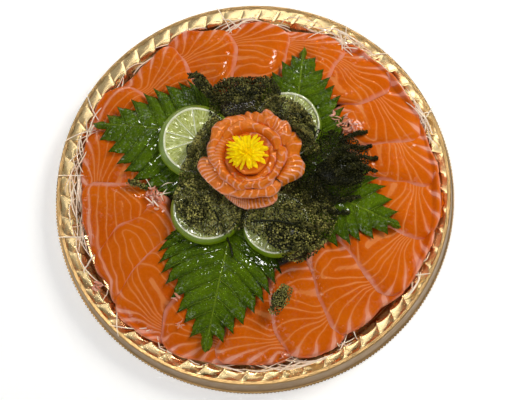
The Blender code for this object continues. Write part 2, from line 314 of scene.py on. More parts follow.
def ball(around, rings):
    """Points and faces of a small round bead."""
    bm = bmesh.new()
    bmesh.ops.create_uvsphere(bm, u_segments=around, v_segments=rings, radius=1.0)
    bmesh.ops.triangulate(bm, faces=bm.faces)
    points = np.array([vert.co[:] for vert in bm.verts])
    faces = np.array([[vert.index for vert in face.verts] for face in bm.faces])
    bm.free()
    return points, faces


def strewn(shape, places, sizes, random):
    """Copies of a shape at many places, each turned at random: points and faces."""
    points, faces = shape
    count = len(places)
    frames = np.linalg.qr(random.normal(size=(count, 3, 3)))[0]
    frames[:, :, 0] *= np.sign(np.linalg.det(frames))[:, None]
    spots = np.einsum("nij,nkj->nki", frames, points[None] * sizes[:, None]) + places[:, None]
    offsets = (np.arange(count) * len(points))[:, None, None]
    return spots.reshape(-1, 3), (faces[None] + offsets).reshape(-1, faces.shape[1])


# ---------------- shader helpers

def put(socket, value):
    """Link a socket, or set its value."""
    if isinstance(value, bpy.types.NodeSocket):
        socket.id_data.links.new(value, socket)
    elif socket.type == "RGBA" and len(value) == 3:
        socket.default_value = (*value, 1.0)
    else:
        socket.default_value = value


def dress(node, **inputs):
    """Link or set inputs of a node; an underscore in a name stands for a space."""
    for key, value in inputs.items():
        put(node.inputs[key.replace("_", " ")], value)


def add(tree, kind, settings=None, **inputs):
    """A node with its settings and inputs."""
    node = tree.nodes.new("ShaderNode" + kind)
    for key, value in (settings or {}).items():
        setattr(node, key, value)
    dress(node, **inputs)
    return node


def maths(tree, operation, *values):
    """The result of a Math node."""
    node = add(tree, "Math", {"operation": operation})
    for socket, value in zip(node.inputs, values):
        put(socket, value)
    return node.outputs[0]


def times(tree, first, second):
    """Two values multiplied."""
    return maths(tree, "MULTIPLY", first, second)


def blend(tree, share, first, second):
    """Two colours mixed."""
    node = add(tree, "Mix", {"data_type": "RGBA"})
    put(node.inputs[0], share)
    put(node.inputs[6], first)
    put(node.inputs[7], second)
    return node.outputs[2]


def remap(tree, value, low, high, new_low=0.0, new_high=1.0, smooth=False):
    """A value carried from one range to another, kept inside it."""
    node = add(tree, "MapRange", {"interpolation_type": "SMOOTHSTEP" if smooth else "LINEAR"},
               Value=value, From_Min=low, From_Max=high, To_Min=new_low, To_Max=new_high)
    return node.outputs[0]


def noise(tree, place, scale, detail=2.0):
    """A noise value."""
    return add(tree, "TexNoise", Vector=place, Scale=scale, Detail=detail).outputs["Fac"]


def object_place(tree):
    """The place of a point on its object."""
    return add(tree, "TexCoord").outputs["Object"]


def map_values(tree, name):
    """The two values of a named UV map."""
    split = add(tree, "SeparateXYZ", Vector=add(tree, "UVMap", {"uv_map": name}).outputs[0])
    return split.outputs[0], split.outputs[1]


# Kinds of the group sockets that are not plain numbers.
SOCKET_KINDS = {"Place": "Vector", "First": "Color", "Second": "Color", "Colour": "Color"}


def new_group(name, inputs, output):
    """A shader node group: its tree, the sockets it is given and those of its result."""
    group = bpy.data.node_groups.new(name, "ShaderNodeTree")
    for label, way in [(label, "INPUT") for label in inputs] + [(output, "OUTPUT")]:
        kind = "NodeSocket" + SOCKET_KINDS.get(label, "Float")
        group.interface.new_socket(label, in_out=way, socket_type=kind)
    return (group, group.nodes.new("NodeGroupInput").outputs,
            group.nodes.new("NodeGroupOutput").inputs)


def make_wet_group():
    """Wet gloss: uneven roughness, from glossy film to drier patches."""
    group, given, result = new_group("Wet Film", ("Place", "Scale", "Wettest", "Driest"),
                                     "Roughness")
    share = remap(group, noise(group, given["Place"], given["Scale"]), 0.35, 0.65)
    put(result["Roughness"], remap(group, share, 0.0, 1.0, given["Wettest"], given["Driest"]))


def make_speck_group():
    """Wet specks: a mask of small glossy spots that gather in patches."""
    group, given, result = new_group("Wet Specks", ("Place", "Scale", "Spread", "Amount"),
                                     "Mask")
    specks = remap(group, noise(group, given["Place"], given["Scale"], 1.0), 0.54, 0.62)
    patches = remap(group, noise(group, given["Place"], given["Spread"]), 0.42, 0.58, 0.12, 1.0)
    put(result["Mask"], times(group, times(group, specks, patches), given["Amount"]))


def make_grain_group():
    """Fine grain: a height made of coarse swells and small pits."""
    group, given, result = new_group(
        "Fine Grain", ("Place", "Coarse Scale", "Fine Scale", "Fine Share"), "Height")
    swell = noise(group, given["Place"], given["Coarse Scale"])
    pits = noise(group, given["Place"], given["Fine Scale"], 3.0)
    put(result["Height"], maths(group, "ADD", swell, times(group, pits, given["Fine Share"])))


def make_tone_group():
    """Tone drift: a colour that wanders between two tones."""
    group, given, result = new_group(
        "Tone Drift", ("Place", "Scale", "First", "Second", "Amount"), "Colour")
    share = remap(group, noise(group, given["Place"], given["Scale"], 3.0), 0.3, 0.7)
    share = times(group, share, given["Amount"])
    put(result["Colour"], blend(group, share, given["First"], given["Second"]))


def make_band_group():
    """Bands: lines of a steady width where a field passes whole numbers."""
    group, given, result = new_group("Whole Bands", ("Field", "Spacing", "Width", "Softness"),
                                     "Mask")
    near = maths(group, "SUBTRACT", given["Field"], maths(group, "ROUND", given["Field"]))
    far = times(group, maths(group, "ABSOLUTE", near), given["Spacing"])
    half = times(group, given["Width"], 0.5)
    start, stop = (maths(group, way, half, given["Softness"]) for way in ("ADD", "SUBTRACT"))
    put(result["Mask"], remap(group, far, stop, start, 1.0, 0.0, True))


def place_group(tree, name, **inputs):
    """A shared group placed in a tree."""
    node = tree.nodes.new("ShaderNodeGroup")
    node.node_tree = bpy.data.node_groups[name]
    dress(node, **inputs)
    return node.outputs[0]


def toned(tree, place, scale, first, second, amount):
    """A colour that wanders between two tones."""
    return place_group(tree, "Tone Drift", Place=place, Scale=scale, First=first,
                       Second=second, Amount=amount)


def wet_film(tree, place, scale, wettest, driest):
    """An uneven roughness."""
    return place_group(tree, "Wet Film", Place=place, Scale=scale, Wettest=wettest,
                       Driest=driest)


def wet_specks(tree, place, scale, spread, amount):
    """A mask of small glossy spots."""
    return place_group(tree, "Wet Specks", Place=place, Scale=scale, Spread=spread,
                       Amount=amount)


def grain(tree, place, coarse, fine, fine_share=0.35):
    """The height of a fine relief."""
    return place_group(tree, "Fine Grain", Place=place, Coarse_Scale=coarse, Fine_Scale=fine,
                       Fine_Share=fine_share)


def bands(tree, field, spacing, width, softness):
    """Lines where a field passes whole numbers, with lengths in millimetres."""
    return place_group(tree, "Whole Bands", Field=field, Spacing=spacing, Width=width,
                       Softness=softness)


def new_material(name, colour, roughness=0.4, **sockets):
    """A material and its tree and shader; the colour also shows in the solid view."""
    material = bpy.data.materials.new(name)
    material.use_nodes = True
    material.diffuse_color = (*colour, 1.0)
    shader = material.node_tree.nodes["Principled BSDF"]
    dress(shader, Base_Color=colour, Roughness=roughness, **sockets)
    return material, material.node_tree, shader


def bump(tree, shader, height, distance, strength=1.0):
    """Relief from a height value."""
    node = add(tree, "Bump", Height=height, Distance=distance, Strength=strength)
    put(shader.inputs["Normal"], node.outputs[0])


# ---------------- settings

def colour_of(name, red, green, blue):
    """A colour setting."""
    return FloatVectorProperty(name=name, description=name + " colour", subtype="COLOR", size=3,
                               min=0.0, max=1.0, default=srgb(red, green, blue))


def length_of(name, words, default):
    """A length setting."""
    return FloatProperty(name=name, description=words, subtype="DISTANCE", unit="LENGTH",
                         min=0.0, default=default)


class TraySettings(bpy.types.PropertyGroup):
    """Sizes and colours of the tray."""
    flutes: IntProperty(name="Flutes", description="Pressed flutes round the wall", min=8,
                        default=60)
    pleat: length_of("Pleat", "Height of the sharp pleat between two panels", 0.0007)
    hollow: length_of("Hollow", "How far a panel is pressed outwards", 0.0019)
    teeth: IntProperty(name="Teeth", description="Fine teeth round the foot", min=60, default=360)
    tooth: length_of("Tooth", "Depth of a tooth", 0.0009)
    gold: colour_of("Gold", 216, 190, 142)
    deep_gold: colour_of("Deep gold", 196, 170, 112)


class SalmonSettings(bpy.types.PropertyGroup):
    """Sizes and colours of the sliced fish."""
    thickness: length_of("Thickness", "Thickness of a slice", 0.0042)
    bevel: length_of("Cut face", "Width of the slanted cut face", 0.0046)
    fat_width: FloatProperty(name="Fat line", description="Width of a fat line in millimetres",
                             min=0.1, default=1.08)
    flesh: colour_of("Flesh", 222, 106, 6)
    deep_flesh: colour_of("Deep flesh", 202, 82, 0)
    fat: colour_of("Fat", 244, 176, 156)
    cut: colour_of("Cut face", 230, 156, 134)


class GreensSettings(bpy.types.PropertyGroup):
    """Sizes and colours of the leaves and sea grapes."""
    teeth: IntProperty(name="Leaf teeth", description="Teeth on each side of a leaf", min=4,
                       default=12)
    leaf: colour_of("Leaf", 88, 116, 2)
    deep_leaf: colour_of("Deep leaf", 40, 66, 0)
    vein: colour_of("Vein", 132, 158, 40)
    bead: length_of("Bead", "Usual radius of a sea grape bead", 0.00072)
    grape_dark: colour_of("Dark grape", 12, 15, 0)
    grape_light: colour_of("Light grape", 206, 200, 112)


class LimeSettings(bpy.types.PropertyGroup):
    """Sizes and colours of the lime slices."""
    segments: IntProperty(name="Segments", description="Segments of a slice", min=6, default=10)
    rind: colour_of("Rind", 118, 144, 0)
    pith: colour_of("Pith", 234, 238, 204)
    pulp: colour_of("Pulp", 172, 182, 62)


class FlowerSettings(bpy.types.PropertyGroup):
    """Sizes and colours of the yellow flower."""
    straps: IntProperty(name="Straps", description="Strap petals of the flower", min=12,
                        default=64)
    yellow: colour_of("Yellow", 255, 224, 0)
    deep_yellow: colour_of("Deep yellow", 250, 204, 0)


class RadishSettings(bpy.types.PropertyGroup):
    """Sizes and colours of the shredded radish."""
    strand: length_of("Strand", "Usual radius of a strand", 0.0005)
    white: colour_of("White", 250, 236, 216)


class StageSettings(bpy.types.PropertyGroup):
    """The floor, the camera and the lamps."""
    elevation: FloatProperty(name="Elevation", description="Height angle of the camera",
                             subtype="ANGLE", unit="ROTATION", default=math.radians(74.28))
    azimuth: FloatProperty(name="Azimuth", description="Turn of the camera about the plate",
                           subtype="ANGLE", unit="ROTATION", default=math.radians(9.32))
    distance: length_of("Distance", "From the camera to the plate", 0.6)
    lens: FloatProperty(name="Lens", description="Focal length", subtype="DISTANCE_CAMERA",
                        unit="CAMERA", default=58.2)
    floor: colour_of("Floor", 252, 252, 252)
    dim_sky: FloatProperty(name="Dim Sky", description="Darkest light that gloss mirrors",
                           min=0.0, default=0.5)
    sky: FloatProperty(name="Sky", description="Strength of the light from all sides", min=0.0,
                       default=1.0)


# ---------------- tray

# Places across one flute where the shell has a column: close together at the pleat.
FLUTE_COLUMNS = (-0.5, -0.46, -0.42, -0.37, -0.25, -0.1, 0.1, 0.25, 0.37, 0.42, 0.46)
WALL_BEND = (134.7, 12.9)  # radius and height in mm where the wall turns shallow
OUTSIDE_FROM = 0.1416  # radius from which the film is rougher and painted darker; the darker tone is a painted dark reflection


def wall_top(radius):
    """Height of the inside of the tray at a radius."""
    return np.interp(radius, (0.1298, 0.1308, WALL_BEND[0] * MM, 0.1420, 0.1430),
                     (0.0042, 0.0052, WALL_BEND[1] * MM + 0.5 * MM, 0.0171, 0.0174))


def tray_rows():
    """Half section of the tray: radius, height, and how much of a flute it takes."""
    bend_r, bend_z = WALL_BEND
    rows = [(r, 4.0, 0.0) for r in (0.4, 40, 90, 122, 129.0)]
    rows += [(130.2, 4.3, 0.0), (130.9, 5.0, 0.0)]
    rise = [(130.9 + (bend_r - 130.9) * t ** 1.05, 5.0 + (bend_z - 5.0) * t ** 0.94, t ** 1.5)
            for t in np.linspace(0.12, 0.9, 8)]
    turn = [(bend_r - 0.15, bend_z - 0.30, 0.95), (bend_r + 0.12, bend_z, 1.0),
            (bend_r + 0.60, bend_z + 0.17, 1.0), (bend_r + 1.20, bend_z + 0.39, 1.0)]
    slope = [(bend_r + 1.60 + (142.0 - bend_r - 1.60) * t,
              bend_z + 0.62 + (16.9 - bend_z - 0.62) * t ** 0.97,
              1.0 - t ** 2) for t in np.linspace(0, 1, 12)]
    slope += [(142.3, 17.0, 0.0), (142.7, 17.08, 0.0)]
    lip = ((143.1, 17.25), (143.5, 17.4), (143.85, 17.42), (144.2, 17.25), (144.5, 16.95),
           (144.66, 16.6), (144.75, 16.3))
    skirt = [(144.75 + 3.45 * s ** 1.15, 16.5 - 15.4 * s) for s in np.linspace(0.1, 1.0, 9)]
    foot = ((148.6, 0.95), (149.0, 0.9), (149.1, 0.5), (149.0, 0.0), (147.3, 0.0), (147.1, 0.6))
    inner_skirt = [(147.0 - 3.2 * s ** 0.87, 1.2 + 15.0 * s) for s in np.linspace(0.0, 1.0, 6)]
    under_lip = ((143.5, 17.0), (143.0, 17.1), (142.5, 16.8))
    wall = rise + turn + slope
    rows += wall
    rows += [(r, z, 0.0) for r, z in lip + tuple(skirt) + foot + tuple(inner_skirt) + under_lip]
    rows += [(r + 0.42, z - 0.32, flute) for r, z, flute in wall[::-2]]
    rows += [(r, 3.2, 0.0) for r in (133.4, 120, 60, 0.4)]
    return np.array(rows) * (MM, MM, 1.0)


def make_gold_material(given, name, first, second, wettest, driest):
    """A metal film whose tone and gloss drift a little."""
    material, tree, shader = new_material(name, given.gold, 0.2, Metallic=1.0)
    place = object_place(tree)
    dress(shader, Base_Color=toned(tree, place, 55.0, first, second, 0.45),
          Roughness=wet_film(tree, place, 120.0, wettest, driest))
    bump(tree, shader, grain(tree, place, 190.0, 1400.0, 0.12), 0.0006, 0.55)
    return material


def build_tray(given):
    """The thin gold shell with its fluted wall."""
    rows = tray_rows()
    across = np.tile(FLUTE_COLUMNS, given.flutes)[None, :]
    flute = np.repeat(np.arange(given.flutes), len(FLUTE_COLUMNS))[None, :]
    columns = across.shape[1]
    radius, height, pressed = (column[:, None] for column in rows.T)
    twist = math.radians(2.0) * ramp(height, 0.017, 0.010)
    place = (flute + across) / given.flutes
    whole = 2.0 * math.pi * place
    theta = (whole + twist * (pressed > 0.0)
             + 0.006 * drift(3, 0.12, np.cos(whole), np.sin(whole)))
    far = 0.5 - np.abs(across)
    narrow = 0.05 + 0.05 * ramp(height, 0.016, 0.010)
    on_pleat = np.clip(1.0 - far / narrow, 0.0, 1.0) * ramp(height, 0.0170, 0.0162)
    in_panel = 1.0 - (2.0 * np.abs(across)) ** 2.2
    uneven = 1.0 + 0.30 * drift(4, 2.6, flute, 0.0 * height)
    push = (uneven * given.pleat * on_pleat * np.minimum(3.0 * pressed, 1.0)
            - given.hollow * in_panel * pressed)
    push += (pressed > 0.0) * 0.10 * MM * drift(5, 0.012, radius * np.cos(theta),
                                                radius * np.sin(theta), height)
    r = radius - 0.8 * push
    z = height + 0.6 * push * 0.25
    lip = ramp(radius, 0.1405, 0.143) * ramp(radius, 0.147, 0.145)
    z = z + lip * 0.10 * MM * np.sin(given.flutes * theta + 1.0)
    points = polar(r, theta, z).reshape(-1, 3)
    faces = capped_tube(len(rows), columns, flip=True)
    inside = make_gold_material(given, "gold_film", given.gold, given.deep_gold, 0.16, 0.30)
    # The outer film is rougher, and its darker tones are a painted dark reflection on the lip and
    # the skirt.
    outside = make_gold_material(given, "gold_film_outside", srgb(146, 117, 76),
                                 srgb(116, 92, 58), 0.32, 0.46)
    band = (radius[:-1, 0] + radius[1:, 0]) / 2.0 > OUTSIDE_FROM
    slots = np.repeat(band.astype(int), columns).tolist() + [0, 0]
    shell = new_piece("tray_shell", points, faces, [inside, outside], slots=slots)
    settle(shell, "gold", "tray")

    columns = given.teeth * 8
    angle = circle(columns)
    wave = np.abs((given.teeth * angle / (2.0 * math.pi)) % 1.0 - 0.5) * 2.0
    reach = TRAY_RADIUS - given.tooth * (1.0 - wave ** 0.8)
    section = ((148.6, 0.05, 0), (148.6, 0.92, 0), (-0.30, 0.90, 1), (-0.05, 0.70, 1),
               (0.0, 0.45, 1), (-0.05, 0.2, 1), (-0.25, 0.02, 1))
    rings = [np.where(flag, reach + r * MM, r * MM + 0.0 * reach) for r, _, flag in section]
    heights = [z * MM + 0.0 * angle for _, z, _ in section]
    points = np.vstack([polar(r, angle, z) for r, z in zip(rings, heights)])
    index = np.arange(len(points)).reshape(len(section), columns)
    index = np.hstack([index, index[:, :1]])
    index = np.vstack([index, index[:1]])
    edge = new_piece("tray_edge", points, quads(index)[:, ::-1], [outside], sharp=40)
    settle(edge, "gold", "tray")


# ---------------- radish

# Tufts: angle, radius in mm, spreads of both, number of strands, middle height in mm,
# usual length in mm, how far the strands stray from running round the tray in degrees.
TUFTS = (
    (163, 129.5, 4, 2.5, 18, 12.5, 30, 26), (94, 129, 4, 1.8, 12, 12.5, 26, 30),
    (57, 132, 4, 2.6, 24, 14, 30, 20), (22, 135.5, 4, 2, 16, 14.5, 22, 26),
    (-31, 136, 3, 1.5, 5, 12, 18, 50), (-76, 131, 5, 1.6, 12, 9.5, 28, 24),
    (-57, 129, 3, 2.5, 8, 10, 16, 50), (-120, 132, 4, 2, 3, 10, 16, 50),
    (188, 70, 5, 4, 10, 23, 13, 80), (-146, 128, 3, 1.5, 4, 10, 18, 40),
    (-163, 130, 4, 1.5, 5, 10, 22, 30), (180, 130, 10, 1.3, 13, 10, 34, 10),
    (-168, 130, 9, 1.2, 8, 9.5, 30, 10), (75, 131, 8, 1.5, 6, 11, 30, 12),
    (40, 136, 7, 1, 6, 13, 26, 12), (-95, 131, 10, 1.2, 8, 8, 30, 10),
    (135, 130, 10, 1.5, 5, 10, 30, 12), (112, 130, 8, 1.2, 4, 10.5, 28, 12),
)
# Strands that hang over the lip: angle, degrees that they turn, reach outwards.
STRAYS = ((-163, -3, 0.1465), (-141, 9, 0.145), (178, 4, 0.1455), (160, 8, 0.146),
          (157, -6, 0.1462), (52, -7, 0.1445), (56, 3, 0.1450), (18, 5, 0.1470),
          (24, -4, 0.1450), (-32, 5, 0.143), (-124, -9, 0.1435), (96, 4, 0.146))
STRAY_ROOT = 0.124  # radius where these strands start
# Radius and height of the way that they take over the lip.
OVER_THE_LIP = ((0.124, 0.0125), (0.132, 0.0145), (0.139, 0.0172), (0.1432, 0.0187),
                (0.1452, 0.0184), (0.1475, 0.0150))


def build_radish(given):
    """The shredded radish, over a smaller core."""
    random = np.random.default_rng(11)
    heap = Heap()
    tree = node_tree("daikon_bed")
    columns, rows = 120, 22
    angle = circle(columns)
    outline = node_points("daikon_bed")
    reach = np.hypot(outline[:, 0], outline[:, 1]).max() - 8.0 * MM
    upper, lower = [], []
    for row in range(rows + 1):
        radius = reach * (0.02 + 0.98 * row / rows)
        for a in angle:
            x, y = radius * math.cos(a), radius * math.sin(a)
            hit = surface(tree, x, y)
            top = (hit.z if hit else 0.008) - 1.6 * MM
            upper.append((x, y, top - 3.0 * MM * (row == rows)))
            lower.append((x, y, 4.4 * MM))
    upper, lower = np.array(upper), np.array(lower)
    upper[:, 2] += 0.5 * MM * drift(12, 0.006, upper[:, 0], upper[:, 1])
    points = np.vstack([upper, lower[-columns:]])
    # Under the middle of the plate the core's second tone is -1, which the material turns into
    # painted shade: a near black olive.
    middle = np.hypot(points[:, 0], points[:, 1]) < 100.0 * MM
    heap.add(points, capped_tube(rows + 2, columns, flip=True),
             np.stack([0.2 + 0.0 * middle, -1.0 * middle], -1))

    steps = 18
    share = np.linspace(-0.5, 0.5, steps)
    for turn, radius, turn_spread, radius_spread, number, height, length, stray in TUFTS:
        theta = np.radians(turn + random.normal(0.0, turn_spread, number))
        base = (radius + random.normal(0.0, radius_spread, number)) * MM
        reach = length * MM * random.uniform(0.6, 1.4, number)
        way = theta + math.pi / 2.0 + np.radians(random.normal(0.0, stray, number))
        bend = random.normal(0.0, 12.0, number) + 6.0 * np.sign(np.cos(way - theta
                                                                       - math.pi / 2.0))
        turning = way[:, None] + bend[:, None] * share * reach[:, None] * 1.6
        step = reach[:, None] / (steps - 1)
        x = base[:, None] * np.cos(theta)[:, None] + np.cumsum(np.cos(turning) * step, 1)
        y = base[:, None] * np.sin(theta)[:, None] + np.cumsum(np.sin(turning) * step, 1)
        x -= (np.cos(turning) * step).sum(1, keepdims=True) / 2.0
        y -= (np.sin(turning) * step).sum(1, keepdims=True) / 2.0
        arch = random.uniform(-1.0, 2.6, number)[:, None] * MM
        z = (height * MM + random.normal(0.0, 1.1 * MM, number)[:, None]
             + arch * np.cos(math.pi * share) - 1.5 * MM * (2.0 * share) ** 2)
        far = np.hypot(x, y)
        z = np.maximum(z, wall_top(far) + 0.9 * MM)
        limit = np.minimum(1.0, (0.1368 + 0.002 * np.sin(7.0 * theta))[:, None] / far)
        paths = np.stack([x * limit, y * limit, z], -1)
        girth = given.strand * random.uniform(0.65, 1.25, number)[:, None]
        radii = girth * (1.0 - 0.55 * np.abs(2.0 * share) ** 3)
        spots, faces = tubes(paths, radii + 0.0 * z, 5)
        tones = np.repeat(random.uniform(0.0, 1.0, number), steps * 5)
        heap.add(spots, faces, tones[:, None])
    paths = []
    along = np.linspace(0.0, 1.0, steps)
    for angle, turn, reach in STRAYS:
        start = math.radians(angle + random.normal(0.0, 1.2))
        a = start + math.radians(turn + random.normal(0.0, 2.0)) * along ** 1.3
        r = STRAY_ROOT + (reach - STRAY_ROOT) * along
        z = np.interp(r, *zip(*OVER_THE_LIP))
        z += 0.5 * MM * np.sin(5.0 * along + random.uniform(0, 6))
        paths.append(polar(r, a, z))
    paths = np.array(paths)
    radii = given.strand * 0.85 * (1.0 - 0.5 * np.linspace(-1, 1, steps)[None] ** 4)
    spots, faces = tubes(paths, radii + 0.0 * paths[..., 0], 5)
    heap.add(spots, faces, (0.8, 0.8))

    # The strands glow a little through emission of their own colour: painted light that lifts them
    # where they lie in shade.
    material, tree, shader = new_material(
        "radish_shreds", given.white, 0.25, Subsurface_Weight=0.35, Subsurface_Scale=0.003,
        Subsurface_Radius=(1.0, 0.7, 0.6), Coat_Weight=0.3, Coat_Roughness=0.1,
        Emission_Strength=0.12)
    tone, painted_shade = map_values(tree, "Tone")
    light = blend(tree, tone, srgb(240, 214, 186), given.white)
    # Painted shade: where the second tone is -1, the radish is painted near black olive as a
    # stand-in for shade under the food.
    light = blend(tree, remap(tree, painted_shade, -1.0, 0.0, 1.0, 0.0), light, srgb(22, 26, 6))
    streaked = toned(tree, object_place(tree), 260.0, light,
                     blend(tree, 0.12, light, srgb(236, 176, 150)), 0.8)
    dress(shader, Base_Color=streaked, Emission_Color=streaked)
    piece = heap.piece("radish_shreds", [material])
    settle(piece, "radish", "daikon_bed")


# ---------------- salmon

# Fat lines over the visible part of a slice.  Each line has a level and runs through points
# given in percent: across from the covered to the visible edge, and outwards.
FAT_PATTERNS = {
    "low": (
        (0, ((-10, 46), (10, 44), (30, 39), (42, 36))),
        (1, ((-10, 63), (11, 59), (34, 49), (56, 42), (77, 35), (66, 29), (49, 27), (23, 26),
             (-10, 32))),
        (2, ((5, 68), (37, 58), (62, 52), (100, 49))),
        (2, ((100, 33), (82, 20), (45, 14), (0, 18))),
        (3, ((10, 71), (51, 65), (84, 66), (100, 73))),
        (3, ((95, 14), (60, 4), (10, 4))),
        (4, ((12, 74), (39, 73), (68, 76), (92, 86))),
        (5, ((15, 77), (37, 79), (55, 83), (74, 91), (85, 100))),
        (6, ((10, 80), (26, 84), (42, 91), (52, 100))),
        (7, ((0, 86), (12, 92), (20, 100))),
    ),
    "high": (
        (0, ((-10, 50), (25, 47), (55, 44))),
        (1, ((-10, 68), (10, 64), (39, 56), (69, 53), (88, 52), (87, 46), (69, 35), (51, 29),
             (20, 28))),
        (2, ((10, 67), (38, 63), (61, 61), (80, 62), (102, 60))),
        (2, ((102, 50), (97, 38), (80, 26), (54, 20), (20, 18))),
        (3, ((20, 70), (55, 66.5), (76, 69), (100, 74))),
        (4, ((18, 73), (48, 73), (72, 79), (95, 88))),
        (5, ((14, 76), (37, 78), (60, 86), (82, 98))),
        (6, ((8, 79), (26, 81), (43, 88), (60, 98))),
        (7, ((-2, 82), (15, 88), (30, 100))),
    ),
    "long": (
        (0, ((-10, 41), (25, 39), (55, 38))),
        (1, ((-10, 57), (5, 55), (29, 51), (56, 46), (79, 41), (76, 33), (60, 28), (30, 30),
             (0, 31))),
        (2, ((5, 62), (38, 58.5), (68, 56), (102, 52))),
        (2, ((102, 36), (85, 22), (55, 14), (10, 16))),
        (3, ((12, 66), (29, 65.5), (52, 65.5), (75, 69), (100, 77))),
        (4, ((16, 69), (39, 69), (60, 73.5), (79, 80), (96, 93))),
        (5, ((14, 72), (38, 76.5), (56, 83), (70, 92), (80, 100))),
        (6, ((10, 75), (28, 82), (42, 90), (55, 100))),
        (7, ((2, 79), (16, 88), (26, 100))),
    ),
    "nested": (
        (0, ((-10, 56), (25, 55), (50, 54.5))),
        (1, ((-10, 66), (9, 65), (45, 60), (70, 59), (76, 56), (65, 50), (38, 45), (8, 46),
             (-10, 47))),
        (2, ((-10, 79), (8, 78), (43, 69), (69, 69), (98, 67), (97, 60), (87, 50), (50, 37),
             (15, 35), (-10, 38))),
        (3, ((103, 45), (88, 37), (50, 26), (17, 24), (-10, 27))),
        (3, ((-10, 90), (30, 84), (62, 79), (100, 80))),
        (4, ((100, 30), (79, 22), (46, 15), (0, 15))),
        (4, ((0, 97), (50, 91), (100, 92))),
        (5, ((95, 13), (50, 6), (10, 6))),
    ),
}
# Each slice: its pattern, and how its visible edge swings, in degrees, at four places from
# the inner to the outer end.
SLICE_LOOKS = (
    ("long", (2.5, 0.8, -0.5, 0.5)), ("long", (0, 0, 0, 0)),
    ("high", (-2, -1.4, 0.2, -1.3)), ("high", (8, 0.5, -0.3, -1.9)),
    ("long", (1, 0.4, -0.4, -2.6)), ("long", (2.4, 1.9, 1.2, -1.2)),
    ("low", (0, 0.3, 0.3, -1.1)), ("high", (2.6, 1.1, -0.7, -3.3)),
    ("low", (2.6, -0.2, -1.4, -2.4)), ("low", (-0.5, 0, 0, 1.5)),
    ("low", (1, 1, 1.5, -1.4)), ("long", (-0.5, -0.8, -1.6, 0.2)),
    ("high", (-3.2, -0.5, 0.8, 2.5)), ("nested", (-6.7, -0.9, 0.3, 4.3)),
    ("nested", (0.3, 0.3, 0.2, -1.2)), ("low", (0, 0, 0, 0)),
    ("nested", (0, 0, 0, 0)), ("long", (0.8, 0.5, -0.3, -0.7)),
)
EDGE_PLACES = (0.15, 0.4, 0.65, 0.9)
# Outer reach of the ring in mm at some angles.
RING_REACH = ((-195, 129), (-180, 126), (-165, 125.5), (-150, 127), (-145, 125), (-140, 128.5),
              (-132, 133), (-122, 131.5), (-114, 133), (-103, 130), (-86, 127.5), (-75, 128.5),
              (-65, 130.5), (-58, 127), (-45, 127.5), (-37, 133.5), (-20, 136), (-7, 137),
              (3, 136), (15, 134), (22, 134.5), (39, 136), (54, 133.5), (62, 131), (79, 127.5),
              (88, 131), (103, 129), (112, 132), (120, 131.5), (135, 126), (147, 133),
              (159, 130), (165, 129), (180, 126), (195, 125.5))
# How far the inner ends reach past their nodes, in mm.
RING_DEPTH = ((-195, 0), (-180, 6), (-168, 13), (-150, 13), (-138, 4), (-125, 0), (-100, 0),
              (-88, 6), (-78, 10), (-45, 9), (-32, 3), (-20, 0), (165, 0), (180, 6))
SLICE_SPAN = 27.0  # degrees that one slice covers
SLICE_BOW = 1.6  # degrees that its long edges bow


def fat_field(lines):
    """A smooth function of two shares that takes each line's level along that line."""
    spots, levels = [], []
    for level, knots in lines:
        path = rounded(np.array(knots) / 100.0, 4)
        spots.append(path)
        levels.append(np.full(len(path), float(level)))
    spots, levels = np.vstack(spots), np.concatenate(levels)

    def kernel(first, second):
        squares = ((first[:, None] - second[None]) ** 2).sum(-1) + 1e-9
        return 0.5 * squares * np.log(squares)

    count = len(spots)
    plane = np.hstack([np.ones((count, 1)), spots])
    system = np.zeros((count + 3, count + 3))
    system[:count, :count] = kernel(spots, spots) + 2e-4 * np.eye(count)
    system[:count, count:] = plane
    system[count:, :count] = plane.T
    weights = np.linalg.solve(system, np.concatenate([levels, np.zeros(3)]))

    def field(across, outwards):
        here = np.stack([across, outwards], -1)
        return (kernel(here, spots) @ weights[:count]
                + np.hstack([np.ones((len(here), 1)), here]) @ weights[count:])

    return field


def line_spacing(field, points, columns, rows):
    """Millimetres between neighbouring lines of a field over a grid of points."""
    level = field.reshape(rows + 1, columns + 1)
    grid = points.reshape(rows + 1, columns + 1, 3) / MM
    along_u, along_v = np.gradient(grid, axis=1), np.gradient(grid, axis=0)
    level_u, level_v = np.gradient(level, axis=1), np.gradient(level, axis=0)
    uu, vv = (along_u ** 2).sum(-1) + 1e-6, (along_v ** 2).sum(-1) + 1e-6
    uv = (along_u * along_v).sum(-1)
    slope = (level_u ** 2 * vv - 2 * level_u * level_v * uv + level_v ** 2 * uu) / np.maximum(
        uu * vv - uv ** 2, 1e-3)
    return np.clip(1.0 / np.sqrt(np.maximum(slope, 1e-6)), 0.8, 9.0).ravel()


def slice_frame(number):
    """Seam angle, inner and outer radius, and the height law of a slice, from its node."""
    points = node_points("salmon_slice_%02d" % number)
    radius = np.hypot(points[:, 0], points[:, 1])
    middle = math.atan2(points[:, 1].mean(), points[:, 0].mean())
    angle = np.angle(np.exp(1j * (np.arctan2(points[:, 1], points[:, 0]) - middle)))
    degrees = np.degrees(angle + middle)
    seam = degrees.max() - SLICE_SPAN
    table = np.stack([np.ones(len(points)), radius, degrees - seam], -1)
    law = np.linalg.lstsq(table, points[:, 2], rcond=None)[0]
    return seam, radius.min(), radius.max(), law


